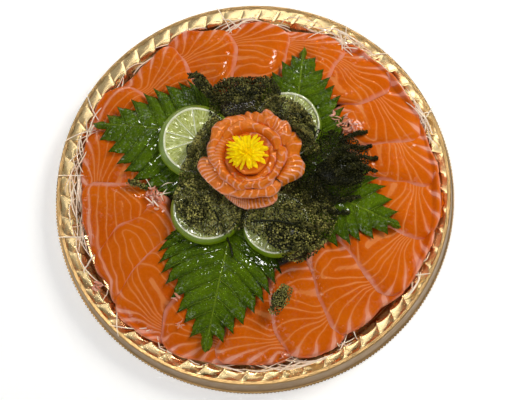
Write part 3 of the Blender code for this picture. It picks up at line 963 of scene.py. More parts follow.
def make_salmon_material(given, name, field_width=1.0, cut_share=1.0, sheer=0.0,
                         thin_share=0.45, lift=0.0, gloss=0.0, rim_width=0.22):
    """Fish flesh with fat lines, a paler cut face and a wet film.

    field_width scales the fat lines, cut_share is how pale the cut face is, and sheer is how
    much light goes through.  thin_share is how pale a thin rim is, up to rim_width in cm.
    lift draws the flesh towards yellow, and gloss makes it smoother.
    """
    first, second = (Vector(tone).lerp(Vector(srgb(255, 176, 40)), lift)
                     for tone in (given.flesh, given.deep_flesh))
    material, tree, shader = new_material(
        name, given.flesh, 0.4, Subsurface_Weight=0.10 + sheer, Subsurface_Scale=0.003,
        Subsurface_Radius=(1.0, 0.35, 0.12), Coat_Roughness=0.06, Specular_IOR_Level=0.03)
    place = object_place(tree)
    level, spacing = map_values(tree, "Fat")
    spacing = times(tree, spacing, MM_PER_CM)
    edge, border = map_values(tree, "Rim")
    edge = times(tree, edge, MM_PER_CM)
    wander = maths(tree, "SUBTRACT", noise(tree, place, 45.0, 1.0), 0.5)
    level = maths(tree, "ADD", level, times(tree, wander, 0.14))
    uneven = remap(tree, noise(tree, place, 95.0), 0.3, 0.7, 0.55, 1.35)
    outer = remap(tree, border, 0.1, 1.3, 1.0, 0.0, True)
    width = times(tree, uneven, given.fat_width * field_width)
    width = times(tree, width, remap(tree, outer, 0.0, 1.0, 0.9, 2.3))
    fat = blend(tree, outer, srgb(234, 138, 72), given.fat)
    width = maths(tree, "MINIMUM", width, times(tree, spacing, 0.42))
    lines = bands(tree, level, spacing, width, 0.30)
    halo = bands(tree, level, spacing, times(tree, width, 1.9), 1.0)
    flesh = toned(tree, place, 38.0, first, second, 0.8)
    fibre = remap(tree, noise(tree, place, 520.0, 3.0), 0.45, 0.75, 0.0, 0.28)
    flesh = blend(tree, fibre, flesh, srgb(232, 122, 44))
    colour = blend(tree, times(tree, halo, 0.22 * field_width ** 2), flesh, fat)
    strength = remap(tree, noise(tree, place, 60.0), 0.3, 0.65, 0.5, 1.0)
    colour = blend(tree, times(tree, lines, strength), colour, fat)
    ragged = maths(tree, "ADD", *(
        times(tree, maths(tree, "SUBTRACT", noise(tree, place, scale), 0.5), size)
        for scale, size in ((260.0, 2.4), (60.0, 3.0))))
    near = remap(tree, maths(tree, "ADD", edge, ragged), 1.8, 4.2, 0.9 * cut_share, 0.0, True)
    worn = remap(tree, noise(tree, place, 120.0, 3.0), 0.3, 0.6, 0.55, 1.0)
    cut = toned(tree, place, 90.0, given.cut, srgb(224, 128, 96), 0.7)
    colour = blend(tree, times(tree, near, worn), colour, cut)
    thin = remap(tree, border, 0.0, rim_width, thin_share, 0.0, True)
    dress(shader, Base_Color=blend(tree, thin, colour, given.cut),
          Roughness=wet_film(tree, place, 230.0, 0.30 - 0.3 * gloss, 0.55 - 0.5 * gloss),
          Coat_Weight=wet_specks(tree, place, 420.0, 30.0, min(0.6 + gloss, 1.0)))
    height = maths(tree, "SUBTRACT", grain(tree, place, 150.0, 950.0),
                   times(tree, halo, 0.35))
    bump(tree, shader, height, 0.0009 * (1.0 + gloss), 0.5)
    return material


def build_slices(given):
    """The ring of overlapping slices."""
    material = make_salmon_material(given, "salmon_slices")
    frames = [slice_frame(number) for number in range(1, SLICES + 1)]
    fields = {name: fat_field(lines) for name, lines in FAT_PATTERNS.items()}
    columns, rows = 50, 46
    for number in range(1, SLICES + 1):
        seam, inner, outer, law = frames[number - 1]
        pattern, swings = SLICE_LOOKS[number - 1]
        gap = (frames[number - 2][0] - seam) % 360.0
        random = np.random.default_rng(100 + number)
        u, v = lattice(columns, rows, 0.6)
        swing = np.interp(v, EDGE_PLACES, swings).reshape(rows + 1, columns + 1)
        swing = smoothed(swing, 3).ravel()
        turn = (SLICE_SPAN * (1.0 - u) - SLICE_BOW * np.sin(math.pi * v)
                + swing * ramp(u, 0.15, 1.0))
        corner = 7.0 * MM * np.abs(2.0 * u - 1.0) ** 5
        ragged = 0.7 * MM * drift(200 + number, 0.5, u, v * 0.3)
        angle = np.radians(seam + turn)
        wrapped = (seam + turn + 180.0) % 360.0 - 180.0
        outer = np.interp(wrapped, *zip(*RING_REACH)) * MM
        outer += np.interp(wrapped, (-55, -25, 45, 70), (2.5, 0.5, 0.5, 2.5)) * MM
        inner = inner - np.interp(wrapped, *zip(*RING_DEPTH)) * MM
        radius = inner + corner + (outer - inner - 2.0 * corner) * v + ragged * (2.0 * v - 1.0)
        x, y = radius * np.cos(angle), radius * np.sin(angle)
        from_edge = np.radians((1.0 - u) * SLICE_SPAN) * radius
        from_tail = np.radians(u * SLICE_SPAN) * radius
        from_out = (outer - inner) * (1.0 - v)
        from_in = (outer - inner) * v
        bevel = given.bevel * (1.0 + 0.25 * drift(300 + number, 0.5, v))
        full = (np.clip(from_edge / bevel, 0.0, 1.0) ** 0.8 * ramp(from_out, -1.2 * MM, 2.6 * MM)
                * ramp(from_in, -1.2 * MM, 3.0 * MM) * ramp(from_tail, -1.5 * MM, 3.0 * MM))
        full = full * (0.40 + 0.60 * ramp(from_edge, 0.0, 15.0 * MM))
        rim = np.minimum(np.minimum(u, 1.0 - u) * 8.0, np.minimum(v, 1.0 - v) * 8.0)
        full = full * np.clip(rim * 8.0, 0.0, 1.0)
        base = law[0] + law[1] * radius + law[2] * turn - given.thickness / 2.0
        base -= 1.3 * MM * ramp(from_edge, 9.0 * MM, 0.0) + 1.2 * MM * ramp(from_out, 8.0 * MM, 0)
        sway = 0.35 * MM * drift(400 + number, 0.028, x, y)
        lifted = wall_top(radius + 1.2 * MM) + 0.3 * MM
        above = base - lifted
        base = lifted + 0.5 * (above + np.sqrt(above ** 2 + (1.5 * MM) ** 2))
        top = base + given.thickness * full + sway
        upper = np.stack([x, y, top], -1)
        lower = np.stack([x, y, base + sway * 0.5], -1)
        visible = 1.0 - gap / SLICE_SPAN
        across = (u - visible) / (1.0 - visible)
        tilt = random.uniform(-0.05, 0.05)
        warp = 0.008 * drift(500 + number, 0.6, across, v)
        out = v + tilt + random.uniform(-0.03, 0.03) * across + warp
        wide = across * random.uniform(0.94, 1.08) + 0.01 * drift(520 + number, 0.6, v, across)
        level = fields[pattern](wide, out)
        spacing = line_spacing(level, upper, columns, rows)
        border = np.minimum(np.minimum(from_out, from_in), from_tail)
        points, faces, source = closed_sheet(upper, lower, columns, rows)
        maps = {"Fat": np.stack([level, spacing / MM_PER_CM], -1)[source],
                "Rim": np.stack([from_edge, border], -1)[source] / (MM_PER_CM * MM)}
        name = "salmon_slice_%02d" % number
        piece = new_piece("sliced_" + name, points, faces, [material], maps)
        settle(piece, "salmon", name)


def build_scrap(given):
    """The small strip of fish that leans on the wall."""
    points = node_points("salmon_scrap")
    angle = np.arctan2(points[:, 1], points[:, 0])
    radius = np.hypot(points[:, 0], points[:, 1])
    columns, rows = 30, 14
    u, v = lattice(columns, rows, 0.5)
    turn = angle.min() + (angle.max() - angle.min()) * u
    ragged = 1.0 + 0.12 * drift(31, 0.4, u, v)
    out = radius.min() + 0.8 * MM + (radius.max() - radius.min() - 1.4 * MM) * (1.0 - v) * ragged
    low, high = points[:, 2].min(), points[:, 2].max()
    z = low + 1.2 * MM + (high - low - 2.4 * MM) * (1.0 - v)
    z -= 2.0 * MM * np.abs(2.0 * u - 1.0) ** 3 * (1.0 - v)
    z += 0.25 * MM * drift(32, 0.006, turn * 0.14, v * 0.012)
    thick = 1.5 * MM * np.clip(np.minimum(np.minimum(u, 1 - u), np.minimum(v, 1 - v)) * 9, 0, 1)
    upper = polar(out - thick * 0.4, turn, z + thick * 0.5)
    lower = polar(out, turn, z - 0.2 * MM)
    level = 2.6 * u + 0.5 * v
    spacing = line_spacing(level, upper, columns, rows)
    points, faces, source = closed_sheet(upper, lower, columns, rows)
    maps = {"Fat": np.stack([level, spacing / MM_PER_CM], -1)[source],
            "Rim": np.ones((len(points), 2))}
    material = make_salmon_material(given, "salmon_scrap_flesh", field_width=0.8)
    piece = new_piece("curled_salmon_scrap", points, faces, [material], maps)
    settle(piece, "salmon", "salmon_scrap")


# Torn shreds of fish: middle, spread in mm, height in mm and number.
SHRED_SPOTS = (((70, 42), 7, 23.5, 30), ((-70, -11), 5.5, 22, 26), ((62, 47), 3, 25.5, 8),
               ((-52, -85), 2.2, 23.5, 4), ((23, -124), 2, 13.5, 3),
               ((-112, -74), 3.5, 14.5, 7), ((-50, -104), 4, 17.5, 3))


def build_shreds(given):
    """Small torn shreds of fish that lie on the slices."""
    random = np.random.default_rng(35)
    heap = Heap()
    ground = piece_tree("sliced_salmon_slice_")
    columns, rows = 7, 3
    u, v = lattice(columns, rows)
    for (x, y), spread, height, number in SHRED_SPOTS:
        for _ in range(number):
            length, width = random.uniform(3.0, 7.5) * MM, random.uniform(1.0, 2.4) * MM
            way, curl = random.uniform(0.0, 2.0 * math.pi), random.uniform(-1.2, 1.2)
            middle = np.array((x, y)) * MM + random.normal(0.0, spread * MM * 0.6, 2)
            turn = way + curl * (u - 0.5)
            out = (v - 0.5) * width * (1.0 - np.abs(2.0 * u - 1.0) ** 2 * random.uniform(0.4, 1))
            px = middle[0] + (u - 0.5) * length * np.cos(turn) - out * np.sin(turn)
            py = middle[1] + (u - 0.5) * length * np.sin(turn) + out * np.cos(turn)
            hit = surface(ground, *middle)
            base = max(hit.z if hit else 0.0, (height - 2.0) * MM)
            pz = (base + 1.0 * MM + random.uniform(0.0, 1.4) * MM
                  + 0.9 * MM * np.sin(3.0 * u + random.uniform(0, 6)) + v * 0.6 * MM)
            upper = np.stack([px, py, pz], -1)
            points, faces, _ = closed_sheet(upper, upper - (0.0, 0.0, 0.5 * MM), columns, rows)
            tone = random.uniform()
            heap.add(points, faces, (tone, tone))
    material, tree, shader = new_material(
        "torn_salmon", given.cut, 0.25, Subsurface_Weight=0.3, Subsurface_Scale=0.003,
        Coat_Weight=0.5, Coat_Roughness=0.08)
    place = object_place(tree)
    tone, _ = map_values(tree, "Tone")
    colour = blend(tree, tone, given.flesh, given.cut)
    dress(shader, Base_Color=toned(tree, place, 220.0, colour, srgb(240, 190, 170), 0.6))
    bump(tree, shader, grain(tree, place, 500.0, 1500.0), 0.0006, 0.7)
    piece = heap.piece("torn_salmon_shreds", [material])
    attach(piece, "root")


# ---------------- leaves

# Half widths in mm on the left and the right of a leaf's heading, at even steps from the base
# to the tip, and how many degrees its tip is drawn aside.
LEAF_LOOKS = (
    ((26, 44, 49, 47, 40, 29, 15, 0), (22, 38, 41, 38, 31, 21, 11, 0), 2),
    ((22, 33, 35, 33, 29, 21, 11, 0), (22, 33, 36, 34, 29, 21, 12, 0), 0),
    ((22, 36, 38, 35, 29, 22, 12, 0), (22, 35, 40, 37, 31, 21, 11, 0), 0),
    ((26, 38, 40, 37, 31, 23, 12, 0), (26, 40, 46, 43, 35, 25, 14, 0), 0),
)
LEAF_THICKNESS = 0.00045
LEAF_GAP = 0.0011  # least height of a leaf over the fish
LEAF_DROOP = 0.0042  # how far its edge hangs below its rib


def leaf_axis(number):
    """Base, heading and length of a leaf, from its node."""
    points = node_points("shiso_leaf_%d" % number)[:, :2]
    far = points[np.argmax(np.hypot(points[:, 0], points[:, 1]))]
    back = points[np.argsort(np.hypot(*(points - far).T))[-6:]].mean(0)
    return back, math.atan2(*(far - back)[::-1]), np.linalg.norm(far - back)


def make_leaf_material(given):
    """A matt leaf with veins, a net of fine veins, wet patches and painted shade beside the veins.
    """
    material, tree, shader = new_material(
        "shiso_leaf", given.leaf, 0.5, Subsurface_Weight=0.05, Subsurface_Scale=0.002,
        Subsurface_Radius=(0.35, 1.0, 0.15), Coat_Roughness=0.06, Specular_IOR_Level=0.06)
    place = object_place(tree)
    level, spacing = map_values(tree, "Vein")
    wander = maths(tree, "SUBTRACT", noise(tree, place, 55.0), 0.5)
    level = maths(tree, "ADD", level, times(tree, wander, 0.35))
    spacing = times(tree, spacing, MM_PER_CM)
    share, away = map_values(tree, "Share")
    side = bands(tree, level, spacing, remap(tree, share, 0.0, 1.0, 0.75, 0.2), 0.22)
    rib = remap(tree, times(tree, away, MM_PER_CM), 0.35, 0.9, 1.0, 0.0, True)
    minor = bands(tree, times(tree, level, 4.0), times(tree, spacing, 0.25), 0.25, 0.3)
    veins = maths(tree, "MAXIMUM", maths(tree, "MAXIMUM", side, rib), times(tree, minor, 0.55))
    net = add(tree, "TexVoronoi", {"feature": "DISTANCE_TO_EDGE"}, Vector=place, Scale=330.0)
    fine = remap(tree, net.outputs["Distance"], 0.02, 0.09, 1.0, 0.0, True)
    base = toned(tree, place, 42.0, given.leaf, given.deep_leaf, 0.85)
    fleck = remap(tree, noise(tree, place, 240.0, 3.0), 0.45, 0.7, 0.0, 0.4)
    base = blend(tree, fleck, base, srgb(104, 136, 14))
    # Painted shade: a dark green band along each vein stands in for the shade in the hollows
    # beside it.
    painted_valley_shade = bands(tree, level, spacing, 2.4, 1.5)
    base = blend(tree, times(tree, painted_valley_shade, 0.7), base, srgb(20, 42, 0))
    colour = blend(tree, times(tree, fine, 0.22), base, given.vein)
    dress(shader, Base_Color=blend(tree, times(tree, veins, 0.7), colour, given.vein),
          Roughness=wet_film(tree, place, 150.0, 0.35, 0.6),
          Coat_Weight=wet_specks(tree, place, 520.0, 38.0, 1.0))
    height = maths(tree, "SUBTRACT", grain(tree, place, 260.0, 1500.0, 0.25),
                   times(tree, fine, 0.35))
    height = maths(tree, "SUBTRACT", height, times(tree, veins, 0.5))
    bump(tree, shader, height, 0.0016, 0.9)
    return material


def build_leaves(given):
    """Four broad toothed leaves that drape over the fish."""
    material = make_leaf_material(given)
    fish = piece_tree("sliced_salmon_slice_")
    teeth, per_tooth, rows = given.teeth, 9, 20
    columns = teeth * per_tooth
    for number in range(1, LEAVES + 1):
        base, heading, length = leaf_axis(number)
        tree = node_tree("shiso_leaf_%d" % number)
        random = np.random.default_rng(60 + number)
        left, right, aside = LEAF_LOOKS[number - 1]
        sheets = []
        for side, widths in ((1, left), (-1, right)):
            s = np.linspace(0.0, 1.0, columns + 1)
            pace = s + 0.010 * np.sin(2 * math.pi * (s * 3.1 + random.uniform()))
            pace[0], pace[-1] = 0.0, 1.0
            phase = (s * teeth) % 1.0
            phase[-1] = 0.0
            whole = np.minimum((s * teeth).astype(int), teeth - 1)
            size = random.uniform(0.75, 1.25, teeth)[whole]
            bite = np.where(phase < 0.8, (phase / 0.8) ** 1.7, (1.0 - phase) / 0.2)
            notch = 0.16 * np.exp(-((phase - 0.40) / 0.09) ** 2)
            depth = (0.0078 * size * (1.0 - 0.30 * s) * ramp(s, 0.0, 0.1) * ramp(s, 1.0, 0.93))
            along = length * (-0.07 + 1.07 * pace ** 1.06)
            width = np.interp(pace, np.linspace(0.0, 1.0, len(widths)), widths) * MM
            width = smoothed(width, 14)
            root = np.clip(along - 0.60 * width, 0.0, None)
            root = np.maximum.accumulate(root + 1e-5 * s)
            out = depth * (bite + notch - 0.62)
            edge_x = along + out * 1.3
            edge_y = np.maximum(width + out, 0.0)
            edge_x[-1], edge_y[-1], root[-1] = length, 0.0, length
            t = np.linspace(0.0, 1.0, rows + 1)[:, None] ** 0.9
            x = root[None] + (edge_x - root)[None] * t
            y = edge_y[None] * t + 0.0 * x
            sag = 0.10 * width[None] * np.sin(math.pi * t) * 0.5
            x = x - sag * (1.0 - s[None])
            spacing = np.gradient(root)[None] * (1 - t) + np.hypot(
                np.gradient(along), np.gradient(width))[None] * t
            level = (s * teeth - 0.78)[None] + 0.0 * t
            quilt = np.sin(math.pi * ((level % 1.0))) ** 0.8
            sheets.append((x, side * y, t + 0.0 * x, level, spacing * per_tooth / MM,
                           quilt * np.sin(math.pi * np.clip(t, 0, 1) ** 0.8)))
        joined = []
        for first, second in zip(*sheets):
            joined.append(np.vstack([first[::-1], second[1:]]))
        x, y, share, level, spacing, quilt = joined
        turn = heading + math.radians(aside) * np.clip(x / length, 0, 1) ** 2
        px = base[0] + x * np.cos(turn) - y * np.sin(turn)
        py = base[1] + x * np.sin(turn) + y * np.cos(turn)
        flat = np.stack([px.ravel(), py.ravel()], -1)
        height = np.zeros(len(flat))
        for index, (a, b) in enumerate(flat):
            hit = surface(tree, a, b)
            if hit is None:
                hit = tree.find_nearest(Vector((a, b, 0.025)))[0]
            under = surface(fish, a, b)
            floor = under.z + LEAF_GAP if under is not None else 0.0
            drop = LEAF_DROOP * share.ravel()[index] ** 2.0
            height[index] = max(hit.z - drop, floor)
        shape = (2 * rows + 1, columns + 1)
        height = height.reshape(shape)
        for _ in range(3):
            soft = smoothed(smoothed(height, 1).T, 1).T
            height = np.maximum(soft, height - 0.6 * MM)
        height += 0.9 * MM * drift(70 + number, 0.026, px, py) * share
        height += 1.2 * MM * quilt * (1.0 - share * 0.3)
        height -= 0.5 * MM * np.exp(-(np.abs(y) / (0.9 * MM)) ** 2)
        height += 0.24 * MM * drift(80 + number, 0.0032, px, py)
        upper = np.stack([px.ravel(), py.ravel(), height.ravel()], -1)
        lower = upper - (0.0, 0.0, LEAF_THICKNESS)
        points, faces, source = closed_sheet(upper, lower, columns, 2 * rows)
        away = np.abs(y) / (MM_PER_CM * MM)
        maps = {"Vein": np.stack([level.ravel(), spacing.ravel() / MM_PER_CM], -1)[source],
                "Share": np.stack([share.ravel(), away.ravel()], -1)[source]}
        node = "shiso_leaf_%d" % number
        piece = new_piece("toothed_" + node, points, faces, [material], maps)
        settle(piece, "leaf", node)


# ---------------- limes

# How far the rind flares below the cut face in mm, and the turn of the segments in degrees.
LIME_LOOKS = ((3.4, 12), (0.8, 40), (2.2, 25), (1.2, 5))
SEGMENT_WIDTH = 15.0  # rough width in mm of one segment at the rind


def make_rind_material(given):
    """Glossy green rind with pores."""
    material, tree, shader = new_material("lime_rind", given.rind, 0.3, Coat_Weight=0.3,
                                          Coat_Roughness=0.12)
    place = object_place(tree)
    dress(shader, Base_Color=toned(tree, place, 60.0, given.rind, srgb(84, 112, 0), 0.8))
    pores = add(tree, "TexVoronoi", Vector=place, Scale=900.0).outputs["Distance"]
    bump(tree, shader, remap(tree, pores, 0.0, 0.4), 0.0004, 0.5)
    return material


def make_cut_lime_material(given):
    """The cut face: pith, membranes and juicy pulp."""
    material, tree, shader = new_material(
        "cut_lime", given.pulp, 0.2, Subsurface_Weight=0.1, Subsurface_Scale=0.003,
        Subsurface_Radius=(0.7, 1.0, 0.3), Coat_Weight=0.4, Coat_Roughness=0.08)
    place = object_place(tree)
    segment, radius = map_values(tree, "Cut")
    near = maths(tree, "SUBTRACT", segment, maths(tree, "ROUND", segment))
    gap = times(tree, maths(tree, "ABSOLUTE", near), times(tree, radius, SEGMENT_WIDTH))
    wall = remap(tree, gap, 0.20, 0.55, 1.0, 0.0, True)
    uneven = times(tree, noise(tree, place, 300.0), 0.03)
    pith = remap(tree, maths(tree, "ADD", radius, uneven), 0.935, 0.96, 0.0, 1.0, True)
    core = remap(tree, radius, 0.05, 0.10, 1.0, 0.0, True)
    white = maths(tree, "MAXIMUM", pith, core)
    across = add(tree, "CombineXYZ", X=times(tree, segment, 9.0), Y=times(tree, radius, 5.0))
    sacs = add(tree, "TexVoronoi", {"feature": "DISTANCE_TO_EDGE"}, Vector=across.outputs[0],
               Scale=1.0).outputs["Distance"]
    skin = remap(tree, sacs, 0.03, 0.22, 1.0, 0.0, True)
    pulp = toned(tree, place, 160.0, given.pulp, srgb(134, 148, 36), 0.9)
    pulp = blend(tree, times(tree, skin, 0.50), pulp, srgb(218, 224, 150))
    colour = blend(tree, times(tree, wall, 0.8), pulp, given.pith)
    colour = blend(tree, white, colour, given.pith)
    green = remap(tree, radius, 0.988, 1.0, 0.0, 0.6, True)
    dress(shader, Base_Color=blend(tree, green, colour, srgb(150, 190, 60)),
          Roughness=wet_film(tree, place, 260.0, 0.08, 0.3))
    height = maths(tree, "ADD", times(tree, remap(tree, sacs, 0.0, 0.3), 0.7),
                   maths(tree, "MAXIMUM", white, wall))
    bump(tree, shader, height, 0.0006, 0.6)
    return material


def build_limes(given):
    """Four lime slices with flared rind and cut segments."""
    rind, cut = make_rind_material(given), make_cut_lime_material(given)
    columns = 180
    angle = circle(columns)
    for number in range(1, LIMES + 1):
        name = "lime_slice_%d" % number
        points = node_points(name)
        centre = node_centre(name)
        axes = np.linalg.svd(points - points.mean(0))[2]
        normal = axes[2] * (1.0 if axes[2][2] > 0 else -1.0)
        side = np.cross((0.0, 1.0, 0.0), normal)
        side /= np.linalg.norm(side)
        up = np.cross(normal, side)
        rel = points - centre
        reach = np.linalg.norm(rel - np.outer(rel @ normal, normal), axis=1).max() - 1.2 * MM
        half = np.abs(rel @ normal).max()
        flare, start = LIME_LOOKS[number - 1]
        rows = [(share, half, 0) for share in np.linspace(0.012, 0.955, 26)]
        rows += [(0.975, half, 0), (0.992, half - 0.1 * MM, 0)]
        face_rows = len(rows)
        rows += [(1.0, half - 0.45 * MM, 1)]
        rows += [(1.0 + flare * MM / reach * math.sin(t * math.pi / 2) ** 0.8,
                  half - 0.45 * MM - (2 * half - 1.0 * MM) * t, 1)
                 for t in np.linspace(0.12, 1.0, 9)]
        last = rows[-1][0]
        rows += [(last * s, -half, 0) for s in (0.97, 0.7, 0.35, 0.012)]
        turn = (angle + math.radians(start)) * given.segments / (2 * math.pi)
        turn = turn + 0.10 * np.sin(2 * angle + number)
        lobes = 1.0 + 0.008 * np.cos(3 * angle + number) + 0.004 * np.cos(7 * angle)
        grid, uv = [], []
        for row, (share, height, _) in enumerate(rows):
            radius = reach * share * lobes
            z = height + 0.0 * angle
            if row < face_rows:
                wall = np.abs(turn - np.round(turn)) * share * SEGMENT_WIDTH
                z = z - 0.35 * MM * ramp(wall, 0.2, 1.2) * (share < 0.93)
                z = z + 0.14 * MM * drift(90 + number, 0.0022, radius * np.cos(angle),
                                          radius * np.sin(angle))
            grid.append(centre + radius[:, None] * (np.cos(angle)[:, None] * side
                                                    + np.sin(angle)[:, None] * up)
                        + z[:, None] * normal)
            uv.append(np.stack([turn, share + 0.0 * angle], -1))
        # The first column is laid twice, so that the map closes without a jump.
        grid, uv = np.array(grid), np.array(uv)
        grid = np.concatenate([grid, grid[:, :1]], 1)
        uv = np.concatenate([uv, uv[:, :1] + (given.segments, 0.0)], 1)
        index = np.arange(len(rows) * (columns + 1)).reshape(len(rows), columns + 1)
        faces = quads(index).tolist()
        faces += [index[0, :-1][::-1].tolist(), index[-1, :-1].tolist()]
        slots = np.repeat([a[2] or b[2] for a, b in zip(rows, rows[1:])], columns)
        slots = slots.tolist() + [0, 0]
        piece = new_piece("cut_" + name, grid.reshape(-1, 3), faces, [cut, rind],
                          {"Cut": uv.reshape(-1, 2)}, slots)
        turn_outwards(piece, weld=True)
        settle(piece, "lime", name)


# ---------------- rose

# For each petal, in mm and degrees: its lip as (angle, radius) knots, where it starts, its
# foot, crest and lip heights, how far out the crest is, its ruffle, crumple and number of
# waves, how far its lip is bleached, and knots of the fat lines' level along it.
PETAL_LOOKS = (
    (((-68, 19), (34, 20), (136, 19)), 12.6, 39, 41.6, 39.5, 0.55, 0.5, 0.30, 2.5, 0,
     (0, 1, 2, 2, 3)),
    (((-248, 19.5), (-146, 20), (-44, 18.6)), 12.6, 39, 41, 39, 0.55, 0.5, 0.30, 2.5, 0,
     (0, 1, 1, 2, 2)),
    (((14, 25.4), (47, 26.6), (63, 26.8), (95, 28.5), (150, 27)), 17.5, 32, 45.4, 41, 0.50,
     0.7, 0.45, 2, 0, (0, 1, 2, 3, 4)),
    (((-228, 28), (-200, 30.5), (-185, 30.4), (-166, 27.5), (-142, 25), (-118, 24.5),
      (-90, 24)), 17, 32, 44.6, 39.4, 0.50, 0.6, 0.40, 2, 0, (0, 4, 8, 9, 11)),
    (((-106, 23.8), (-63, 24.6), (-38, 24.2), (-14, 24.6), (17, 25.8), (30, 25)), 17, 32,
     44.2, 39.4, 0.50, 0.9, 0.50, 2.5, 0, (0, 2, 3, 5, 6)),
    (((84, 34), (103, 35.6), (124, 37), (144, 34.6), (170, 30.8), (188, 28.5)), 22, 31.5,
     44.6, 38.5, 0.42, 0.5, 0.35, 1.5, 0, (0, 1, 2, 3, 6)),
    (((20, 35), (45, 37), (61, 37.8), (80, 37), (98, 35)), 22.5, 31.5, 42.8, 38, 0.45,
     1, 0.90, 2.5, 0.3, (0, 1, 3, 4, 5)),
    (((-40, 34), (-22, 37.4), (-8, 38.2), (4, 36.2), (14, 38.2), (30, 38), (42, 35)), 22.5,
     31.5, 41.4, 35.4, 0.48, 1.4, 0.35, 2, 0.4, (0, 2, 4, 5, 6)),
    (((-184, 40), (-170, 39.4), (-157, 37), (-144, 34.4), (-126, 31.6), (-107, 30),
      (-80, 29.6), (-54, 31.6), (-40, 32)), 21, 31.5, 40.4, 38.2, 0.35, 0.4, 0.25, 1.5, 0.8,
     (0, 5, 6, 8, 10)),
    (((-138, 32), (-119, 33), (-104, 34.8), (-88, 35.6), (-72, 35), (-52, 33.6)), 26,
     30.6, 33.4, 31.4, 0.45, 0.8, 0.30, 2, 0, (0, 4, 9, 12, 14)),
)
CREST_AT = 0.45  # share of a petal's way, from foot to lip, to its crest


def build_rose(given):
    """The rose of rolled slices."""
    material = make_salmon_material(given, "rose_salmon", field_width=0.42, cut_share=0.45,
                                    sheer=0.30, thin_share=0.8, lift=0.16, gloss=0.50,
                                    rim_width=0.11)
    dress(material.node_tree.nodes["Principled BSDF"], Specular_IOR_Level=0.5,
          Specular_Tint=(1.0, 0.50, 0.22))
    for number in range(1, PETALS + 1):
        name = "rose_petal_%02d" % number
        (lip, start, foot, crest, edge_z, crest_share, ruffle, crumple, waves, bleach,
         stripes) = PETAL_LOOKS[number - 1]
        lip = rounded(lip, 12)
        columns, rows = 40 + int((lip[-1, 0] - lip[0, 0]) * 0.45), 26
        random = np.random.default_rng(130 + number)
        u, v = lattice(columns, rows, 0.3)
        side = 2.0 * u - 1.0
        theta = np.radians(lip[0, 0] + (lip[-1, 0] - lip[0, 0]) * u)
        ends = np.abs(side) ** 8
        reach = (np.interp(np.degrees(theta), lip[:, 0], lip[:, 1]) - 3.0 * ends
                 + 0.5 * drift(140 + number, 0.35, u) + 0.9 * side)
        first = start + 0.9 * side
        top = crest - 2.2 * ends + 0.35 * drift(145 + number, 0.5, u)
        inside = np.minimum(v / CREST_AT, 1.0)
        outside = np.clip((v - CREST_AT) / 0.55, 0.0, 1.0)
        middle = first + (reach - first) * crest_share
        r = np.where(v < CREST_AT, first + (middle - first) * (1.0 - np.cos(inside * math.pi / 2)),
                     middle + (reach - middle) * (0.35 * outside
                                                  + 0.65 * np.sin(outside * math.pi / 2)))
        z = np.where(v < CREST_AT, foot + (top - foot) * np.sin(inside * math.pi / 2),
                     top - (crest - edge_z) * outside ** 1.9)
        r, z = r * MM, z * MM
        wave = np.sin(math.pi * waves * side + random.uniform(0, 6))
        free = np.clip(v, 0.0, 1.0) ** 2
        r += ruffle * MM * (0.6 * wave + 0.5 * drift(150 + number, 0.5, u)) * free
        z += 0.6 * ruffle * MM * drift(160 + number, 0.35, u) * free
        theta = theta + 0.02 * drift(170 + number, 0.6, u, v)
        x = ROSE_MIDDLE[0] + r * np.cos(theta)
        y = ROSE_MIDDLE[1] + r * np.sin(theta)
        bend = MM * ramp(v, 0.2, 0.6) * (crumple * drift(180 + number, 0.0080, x, y, z)
                                         + 0.12 * drift(200 + number, 0.0032, x, y, z))
        inner = np.stack([x + bend * np.cos(theta), y + bend * np.sin(theta), z + bend], -1)
        grid = inner.reshape(rows + 1, columns + 1, 3)
        normal = np.cross(np.gradient(grid, axis=1), np.gradient(grid, axis=0)).reshape(-1, 3)
        normal /= np.linalg.norm(normal, axis=1, keepdims=True) + 1e-12
        down = -np.sign(np.median(normal[v > 0.6, 2]))
        rim = np.minimum(np.minimum(u, 1 - u) * 16, (1 - v) * 9)
        thick = 0.9 * MM * np.clip(rim, 0, 1) ** 0.5
        outer = inner + normal * (thick * down)[:, None]
        level = np.interp(u, np.linspace(0.0, 1.0, len(stripes)), stripes)
        level = (level * 1.5 + 0.35 * (v - 0.5) * (1 if number % 2 else -1)
                 + 0.16 * drift(190 + number, 0.5, u, v))
        spacing = line_spacing(level, inner, columns, rows)
        points, faces, source = closed_sheet(inner, outer, columns, rows)
        if down < 0:
            faces = faces[:, ::-1]
        border = np.abs((reach * MM - r) * (v > 0.3)) + 20.0 * MM * (v < 0.3)
        pale = np.interp(border, (0.0, 8.0 * MM), (0.62 - 0.38 * bleach, 0.62 - 0.12 * bleach))
        maps = {"Fat": np.stack([level, spacing / MM_PER_CM], -1)[source],
                "Rim": np.stack([pale, border / (MM_PER_CM * MM)], -1)[source]}
        piece = new_piece("rolled_" + name, points, faces, [material], maps)
        settle(piece, "salmon", name)

    low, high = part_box("rose_core")
    columns, rows = 64, 20
    angle = circle(columns)
    grid = []
    for v in np.linspace(0.0, 1.0, rows):
        radius = (high.x - low.x) / 2.0 * (0.86 + 0.23 * v) + 0.5 * MM * drift(
            196, 0.9, np.cos(angle), np.sin(angle) + v)
        grid.append(np.stack([ROSE_MIDDLE[0] + radius * np.cos(angle),
                              ROSE_MIDDLE[1] + radius * np.sin(angle),
                              low.z + (high.z - low.z) * v + 0.0 * angle], -1))
    for share in (0.85, 0.6, 0.3, 0.02):
        ring = grid[rows - 1].copy()
        ring[:, :2] = ROSE_MIDDLE + (ring[:, :2] - ROSE_MIDDLE) * share
        ring[:, 2] = high.z - 1.6 * MM * (1.0 - share)
        grid.append(ring)
    points = np.vstack(grid)
    level = points[:, 2] * 200.0
    maps = {"Fat": np.stack([level, 0.5 + 0.0 * level], -1), "Rim": np.ones((len(points), 2))}
    core = new_piece("rolled_rose_core", points, capped_tube(len(grid), columns), [material],
                     maps)
    settle(core, "salmon", "rose_core")


# ---------------- yellow flower

